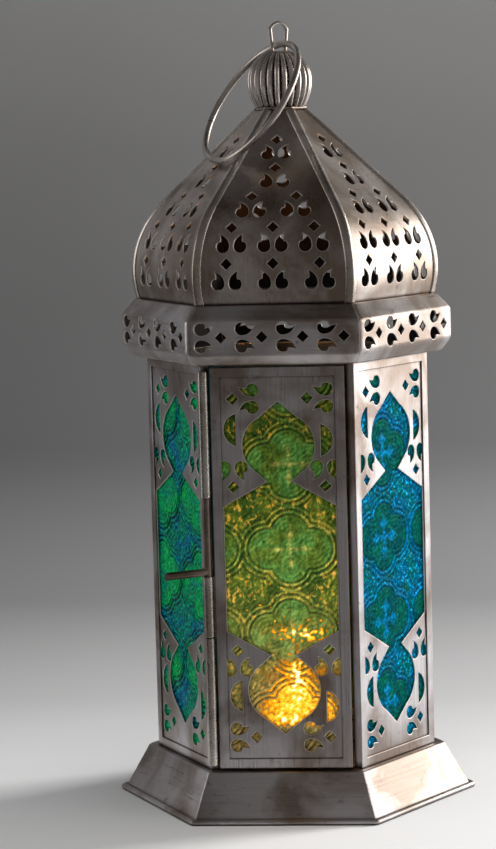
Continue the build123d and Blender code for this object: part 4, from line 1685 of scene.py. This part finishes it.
@dataclass
class DoorHinge:
    """Three barrels on one lift-out pin with a bent handle. Sizes in mm."""

    barrels: tuple[Barrel, ...] = (Barrel("lower_barrel", "lantern", 18.1, 43.4, (30.0, 1.482, 0.5)),
                                   Barrel("door_barrel", "door", 61.9, 20.4, (90.0, -1.757, 1.05)),
                                   Barrel("upper_barrel", "lantern", 109.0, 42.1, (30.0, 1.482, 0.5)))
    axis: Point = (-24.65, -42.695)
    barrel_radius: float = 1.7
    barrel_steps: int = 40
    barrel_round: float = 0.15
    barrel_crease: float = 20.0
    rim_angle: float = 1.0
    bore: float = 1.36
    leaf_width: float = 2.4
    leaf_inset: float = 1.0
    pin_radius: float = 1.3
    pin_segments: int = 24
    pin_foot: float = 60.9
    pin_head: float = 124.0
    handle_level: float = 83.9
    handle_bearing: float = -147.0
    handle_length: float = 15.5
    handle_bend: float = 1.7
    handle_steps: int = 8

    def barrel_mesh(self, barrel: Barrel) -> BMesh:
        """Roll one barrel with the leaf that holds it.

        Args:
            barrel: The barrel's levels and leaf.

        Returns:
            The barrel's mesh.
        """
        bearing, aside, thick = barrel.leaf
        mesh = bmesh.new()
        section = bmesh.ops.create_grid(mesh, x_segments=1, y_segments=1, size=0.5)["verts"]
        for vertex in section:
            across, up = vertex.co.x + 0.5, vertex.co.y + 0.5
            out = self.bore + across * (self.barrel_radius - self.bore)
            vertex.co = (out, 0, barrel.base + up * barrel.length)
        bmesh.ops.delete(mesh, geom=mesh.faces[:], context="FACES_ONLY")
        spin_closed(mesh, mesh.verts[:] + mesh.edges[:], self.barrel_steps)
        rims = [edge for edge in mesh.edges if edge.is_manifold and edge.calc_face_angle() > self.rim_angle
                and all(hypot(v.co.x, v.co.y) > self.barrel_radius - 0.01 for v in edge.verts)]
        round_edges(mesh, rims, self.barrel_round)
        place = Matrix.Translation((self.leaf_width / 2, aside, barrel.base + barrel.length / 2))
        turn = Matrix.Rotation(radians(bearing), 4, "Z")
        size = Matrix.Diagonal((self.leaf_width - self.leaf_inset, thick, barrel.length, 1))
        bmesh.ops.create_cube(mesh, size=1.0, matrix=turn @ place @ size)
        bmesh.ops.translate(mesh, verts=mesh.verts, vec=(*self.axis, 0))
        return mesh

    def pin_mesh(self) -> BMesh:
        """Make the straight rod and bend its handle out.

        Returns:
            The pin's mesh.
        """
        mesh = bmesh.new()
        length = self.pin_head - self.pin_foot
        middle = Matrix.Translation((0, 0, self.pin_foot + length / 2))
        bmesh.ops.create_cone(mesh, cap_ends=True, segments=self.pin_segments, radius1=self.pin_radius,
                              radius2=self.pin_radius, depth=length, matrix=middle)
        start = self.handle_level + self.handle_bend
        ring = bmesh.ops.create_circle(mesh, segments=self.pin_segments, radius=self.pin_radius,
                                       cap_ends=False, matrix=Matrix.Translation((0, 0, start)))["verts"]
        edges = list({edge for vertex in ring for edge in vertex.link_edges})
        bow = bmesh.ops.spin(mesh, geom=ring + edges, cent=(self.handle_bend, 0, start), axis=(0, -1, 0),
                             angle=pi / 2, steps=self.handle_steps)["geom_last"]
        arm = bmesh.ops.extrude_edge_only(mesh, edges=picked(bow, BMEdge))["geom"]
        bmesh.ops.translate(mesh, verts=picked(arm, BMVert),
                            vec=(self.handle_length - self.handle_bend, 0, 0))
        bmesh.ops.holes_fill(mesh, edges=[edge for edge in mesh.edges if edge.is_boundary])
        turn_mesh(mesh, self.handle_bearing)
        bmesh.ops.translate(mesh, verts=mesh.verts, vec=(*self.axis, 0))
        return mesh

    def build(self, finishes: Finishes) -> None:
        """Dress the barrels and make the pin.

        Args:
            finishes: The lantern's finishes.
        """
        for barrel in self.barrels:
            finish_piece(self.barrel_mesh(barrel), f"{barrel.name}_skin", barrel.body,
                         finishes.bead_tin, (barrel.name,), self.barrel_crease)
        finish_piece(self.pin_mesh(), "hinge_pin_skin", "hinge_pin", finishes.pin,
                     ("hinge_pin",), ROUND_CREASE)


@dataclass
class Candle:
    """Tea light in its cup, with a flame. Sizes in mm."""

    wick_top: float = 34.9
    flame_height: float = 17.0
    flame_radius: float = 3.6
    flame_foot: float = 1.25
    flame_taper: float = 1.4
    flame_sunk: float = 3.5

    def build(self, finishes: Finishes) -> None:
        """Dress the tea light and spin its flame.

        Args:
            finishes: The lantern's finishes.
        """
        dress_node("candle_cup", finishes.band_tin)
        dress_node("tealight_cup", finishes.aluminium)
        dress_node("tealight_wax", finishes.wax)
        dress_node("tealight_wick", finishes.wick)
        mesh = bmesh.new()
        bmesh.ops.create_uvsphere(mesh, u_segments=20, v_segments=16, radius=1.0)
        for vertex in mesh.verts:
            rise = (vertex.co.z + 1) / 2
            slim = self.flame_radius * (self.flame_foot - rise**self.flame_taper)
            level = self.wick_top - self.flame_sunk + rise * self.flame_height
            vertex.co = (vertex.co.x * slim, vertex.co.y * slim, level)
        finish_piece(mesh, "candle_flame", "tealight", finishes.flame)


class LampUse(Enum):
    """What a lamp serves: matt surfaces such as the floor, or only the reflections in the metal."""

    MATT = "matt"
    MIRRORED = "mirrored"


@dataclass(frozen=True)
class SoftBox:
    """One soft lamp that faces the lantern. Sizes in metres, power in watts."""

    name: str
    place: Place
    size: Point
    power: float
    colour: str
    use: LampUse = LampUse.MIRRORED

    def hang(self, target: Place) -> None:
        """Hang the lamp and aim it.

        Args:
            target: The place that it faces.
        """
        data = bpy.data.lights.new(self.name, "AREA")
        data.shape = "RECTANGLE"
        data.size, data.size_y = self.size
        data.energy = self.power
        data.color = linear(self.colour)[:3]
        lamp = link_object(self.name, data)
        aim = (Vector(target) - Vector(self.place)).to_track_quat("-Z", "Y")
        lamp.matrix_world = Matrix.Translation(self.place) @ aim.to_matrix().to_4x4()
        lamp.visible_glossy = self.use is LampUse.MIRRORED
        lamp.visible_diffuse = self.use is LampUse.MATT


LAMPS = (SoftBox("key_box", (1.0, 0.62, 0.46), (0.4, 0.4), 22.0, "#fffdfb", LampUse.MATT),
         SoftBox("right_card", (1.0, 0.62, 0.34), (1.2, 0.62), 12.0, "#fff8f0"),
         SoftBox("high_right_card", (0.75, 0.98, 1.0), (0.7, 0.6), 0.45, "#fffaf4"),
         SoftBox("high_left_card", (-0.7, 0.92, 1.15), (0.7, 0.6), 0.3, "#ffffff"),
         SoftBox("right_strip", (1.35, -0.15, 0.35), (0.35, 1.0), 2.6, "#fffaf5"),
         SoftBox("left_box", (-1.15, 0.95, 0.4), (1.2, 1.2), 0.65, "#f6f7ff"),
         SoftBox("side_strip", (-1.35, -0.1, 0.35), (0.55, 1.1), 3.2, "#fffaf5"),
         SoftBox("top_box", (0.2, -0.3, 1.9), (1.4, 1.0), 13.5, "#ffffff", LampUse.MATT))


@dataclass
class Studio:
    """Pale sweep, soft lights and the camera. Sizes in metres."""

    camera_yaw: float = 4.8
    camera_pitch: float = 6.276
    camera_roll: float = -1.467
    camera_distance: float = 0.9946
    target: Place = (0.0, 0.0, 0.13)
    image: tuple[int, int] = (496, 849)
    focal_px: float = 2871.1
    centre_px: Point = (288.14, 419.68)
    sensor: float = 36.0
    # Turn in degrees, distance from the axis, width and height of each flag.
    flags: tuple[Quad, ...] = ((0.0, 0.1, 0.8, 0.2), (-125.0, 0.16, 0.34, 0.07))
    sweep_half: float = 4.0
    sweep_front: float = 3.0
    sweep_back: float = 0.9
    sweep_bend: float = 0.9
    sweep_bend_steps: int = 24
    sweep_rise: float = 3.0
    paper_span: Point = (-1.0, 2.0)
    # Painted light and shade on the paper: brightest just in front of the lantern, darker further forward and
    # behind it.
    paper_light_tones: Tones = ((0.0, "#c0c0c1"), (0.304, "#f8f8f8"), (0.348, "#e9e9ea"), (0.384, "#c2c2c3"),
                          (0.462, "#8c8c8d"), (0.663, "#7b7b7c"), (0.788, "#868686"), (0.887, "#959595"),
                          (1.0, "#b2b2b2"))
    # Painted light: the paper grows lighter towards the right.
    side_light_span: Point = (-0.3, 0.3)
    paper_side_light: Point = (0.88, 1.13)
    room_tones: Tones = ((0.0, "#8c8c8c"), (0.49, "#888585"), (0.56, "#727070"), (0.7, "#787574"),
                         (0.84, "#6c6a69"), (0.93, "#605d5c"), (1.0, "#434140"))
    candle_place: Place = (0.0, 0.0, 0.06)
    candle_power: float = 0.08
    candle_colour: str = "#ff9636"
    candle_size: float = 0.006

    def place_camera(self) -> None:
        """Set the camera to the photograph's viewing angle."""
        data = bpy.data.cameras.new("camera")
        data.sensor_fit = "VERTICAL"
        data.sensor_height = self.sensor
        data.lens = self.focal_px * self.sensor / self.image[1]
        data.shift_x = (self.image[0] / 2 - self.centre_px[0]) / self.image[1]
        data.shift_y = (self.centre_px[1] - self.image[1] / 2) / self.image[1]
        camera = link_object("camera", data)
        yaw, pitch = radians(self.camera_yaw), radians(self.camera_pitch)
        away = Vector((sin(yaw) * cos(pitch), -cos(yaw) * cos(pitch), sin(pitch)))
        look = (-away).to_track_quat("-Z", "Y").to_matrix().to_4x4()
        place = Matrix.Translation(Vector(self.target) + away * self.camera_distance)
        camera.matrix_world = place @ look @ Matrix.Rotation(radians(self.camera_roll), 4, "Z")
        bpy.context.scene.camera = camera

    def build_sweep(self) -> None:
        """Roll out the pale floor that curves up into a grey wall."""
        mesh = bmesh.new()
        left, right = (mesh.verts.new((x, -self.sweep_front, 0)) for x in (-self.sweep_half, self.sweep_half))
        edge = mesh.edges.new((left, right))
        floor_end = bmesh.ops.extrude_edge_only(mesh, edges=[edge])["geom"]
        verts = picked(floor_end, BMVert)
        bmesh.ops.translate(mesh, verts=verts, vec=(0, self.sweep_front + self.sweep_back, 0))
        far = [edge for edge in picked(floor_end, BMEdge) if all(v in verts for v in edge.verts)]
        bend = bmesh.ops.spin(mesh, geom=verts + far, cent=(0, self.sweep_back, self.sweep_bend),
                              axis=(1, 0, 0), angle=pi / 2, steps=self.sweep_bend_steps)["geom_last"]
        rise = bmesh.ops.extrude_edge_only(mesh, edges=picked(bend, BMEdge))["geom"]
        bmesh.ops.translate(mesh, verts=picked(rise, BMVert), vec=(0, 0, self.sweep_rise))
        bmesh.ops.recalc_face_normals(mesh, faces=mesh.faces)
        data = mesh_data(mesh, "sweep")
        data.polygons.foreach_set("use_smooth", [True] * len(data.polygons))
        data.materials.append(self.sweep_paper())
        link_object("sweep", data)

    def sweep_paper(self) -> Material:
        """Make the sweep's matt paper, with painted light and shade: near white just in front of the lantern,
        grey behind it and lighter to the right.

        Returns:
            The paper as a material.
        """
        material, tree, shader = new_material(
            "matt_backdrop_paper", {"Roughness": 0.9, "Specular IOR Level": 0.1})
        place = add_node(tree, "TexCoord").outputs["Object"]
        split = add_node(tree, "SeparateXYZ", links={"Vector": place}).outputs
        reach = add_node(tree, "Math", {"operation": "ADD"}, {0: split["Y"], 1: split["Z"]})
        share = add_node(tree, "MapRange", span("From", self.paper_span), {"Value": reach})
        tone = add_node(tree, "ValToRGB", {"stops": linear_stops(self.paper_light_tones)}, {"Fac": share})
        across = add_node(tree, "MapRange", {**span("From", self.side_light_span), **span("To", self.paper_side_light)},
                          {"Value": split["X"]})
        tone = add_node(tree, "Mix", TINT, {6: tone, 7: across})
        feed(shader, {"Base Color": tone})
        return material

    def hang_flags(self) -> None:
        """Hang grey cloths that only the metal mirrors, as a photographer tones bright tin down."""
        mesh = bmesh.new()
        for turn, reach, width, height in self.flags:
            place = Matrix.Rotation(radians(turn), 4, "Z") @ Matrix.Translation((0, -reach, height / 2))
            upright = place @ Matrix.Rotation(-pi / 2, 4, "X") @ Matrix.Diagonal((width, height, 1, 1))
            bmesh.ops.create_grid(mesh, x_segments=1, y_segments=1, size=0.5, matrix=upright)
        data = mesh_data(mesh, "flags")
        cloth = PlainFinish("grey_flag_cloth", "#757373", "#6f6d6d", 0.0, 0.9, mottle_mm=60.0)
        data.materials.append(cloth.make())
        flags = link_object("flags", data)
        flags.visible_camera = flags.visible_diffuse = flags.visible_shadow = False

    def light_world(self) -> None:
        """Fill the room: dim grey all round, darker overhead."""
        world = bpy.data.worlds.new("room")
        world.use_nodes = True
        tree = world.node_tree
        tree.nodes.clear()
        way = add_node(tree, "TexCoord").outputs["Generated"]
        split = add_node(tree, "SeparateXYZ", links={"Vector": way}).outputs
        height = add_node(tree, "MapRange", {"From Min": -1.0}, {"Value": split["Z"]})
        tone = add_node(tree, "ValToRGB", {"stops": linear_stops(self.room_tones)}, {"Fac": height})
        back = add_node(tree, "Background", {"Strength": 1.0}, {"Color": tone})
        add_node(tree, "OutputWorld", links={"Surface": back})
        bpy.context.scene.world = world

    def light_candle(self) -> None:
        """Light the inside of the lantern from the candle's flame."""
        data = bpy.data.lights.new("candle_glow", "POINT")
        data.energy = self.candle_power
        data.color = linear(self.candle_colour)[:3]
        data.shadow_soft_size = self.candle_size
        link_object("candle_glow", data).location = self.candle_place

    def build(self) -> None:
        """Set the stage, the lights and the camera."""
        bpy.context.scene.view_settings.view_transform = "Standard"
        self.build_sweep()
        self.hang_flags()
        self.light_world()
        for lamp in LAMPS:
            lamp.hang(self.target)
        self.light_candle()
        self.place_camera()


def main() -> None:
    """Build every sub-assembly in order."""
    logging.basicConfig(level=logging.INFO, format="%(message)s")
    finishes = Finishes()
    Plinth().build(finishes)
    Panels().build(finishes)
    DoorHinge().build(finishes)
    Cornice().build(finishes)
    Dome().build(finishes)
    Finial().build(finishes)
    Candle().build(finishes)
    Studio().build()


if __name__ == "__main__":
    main()
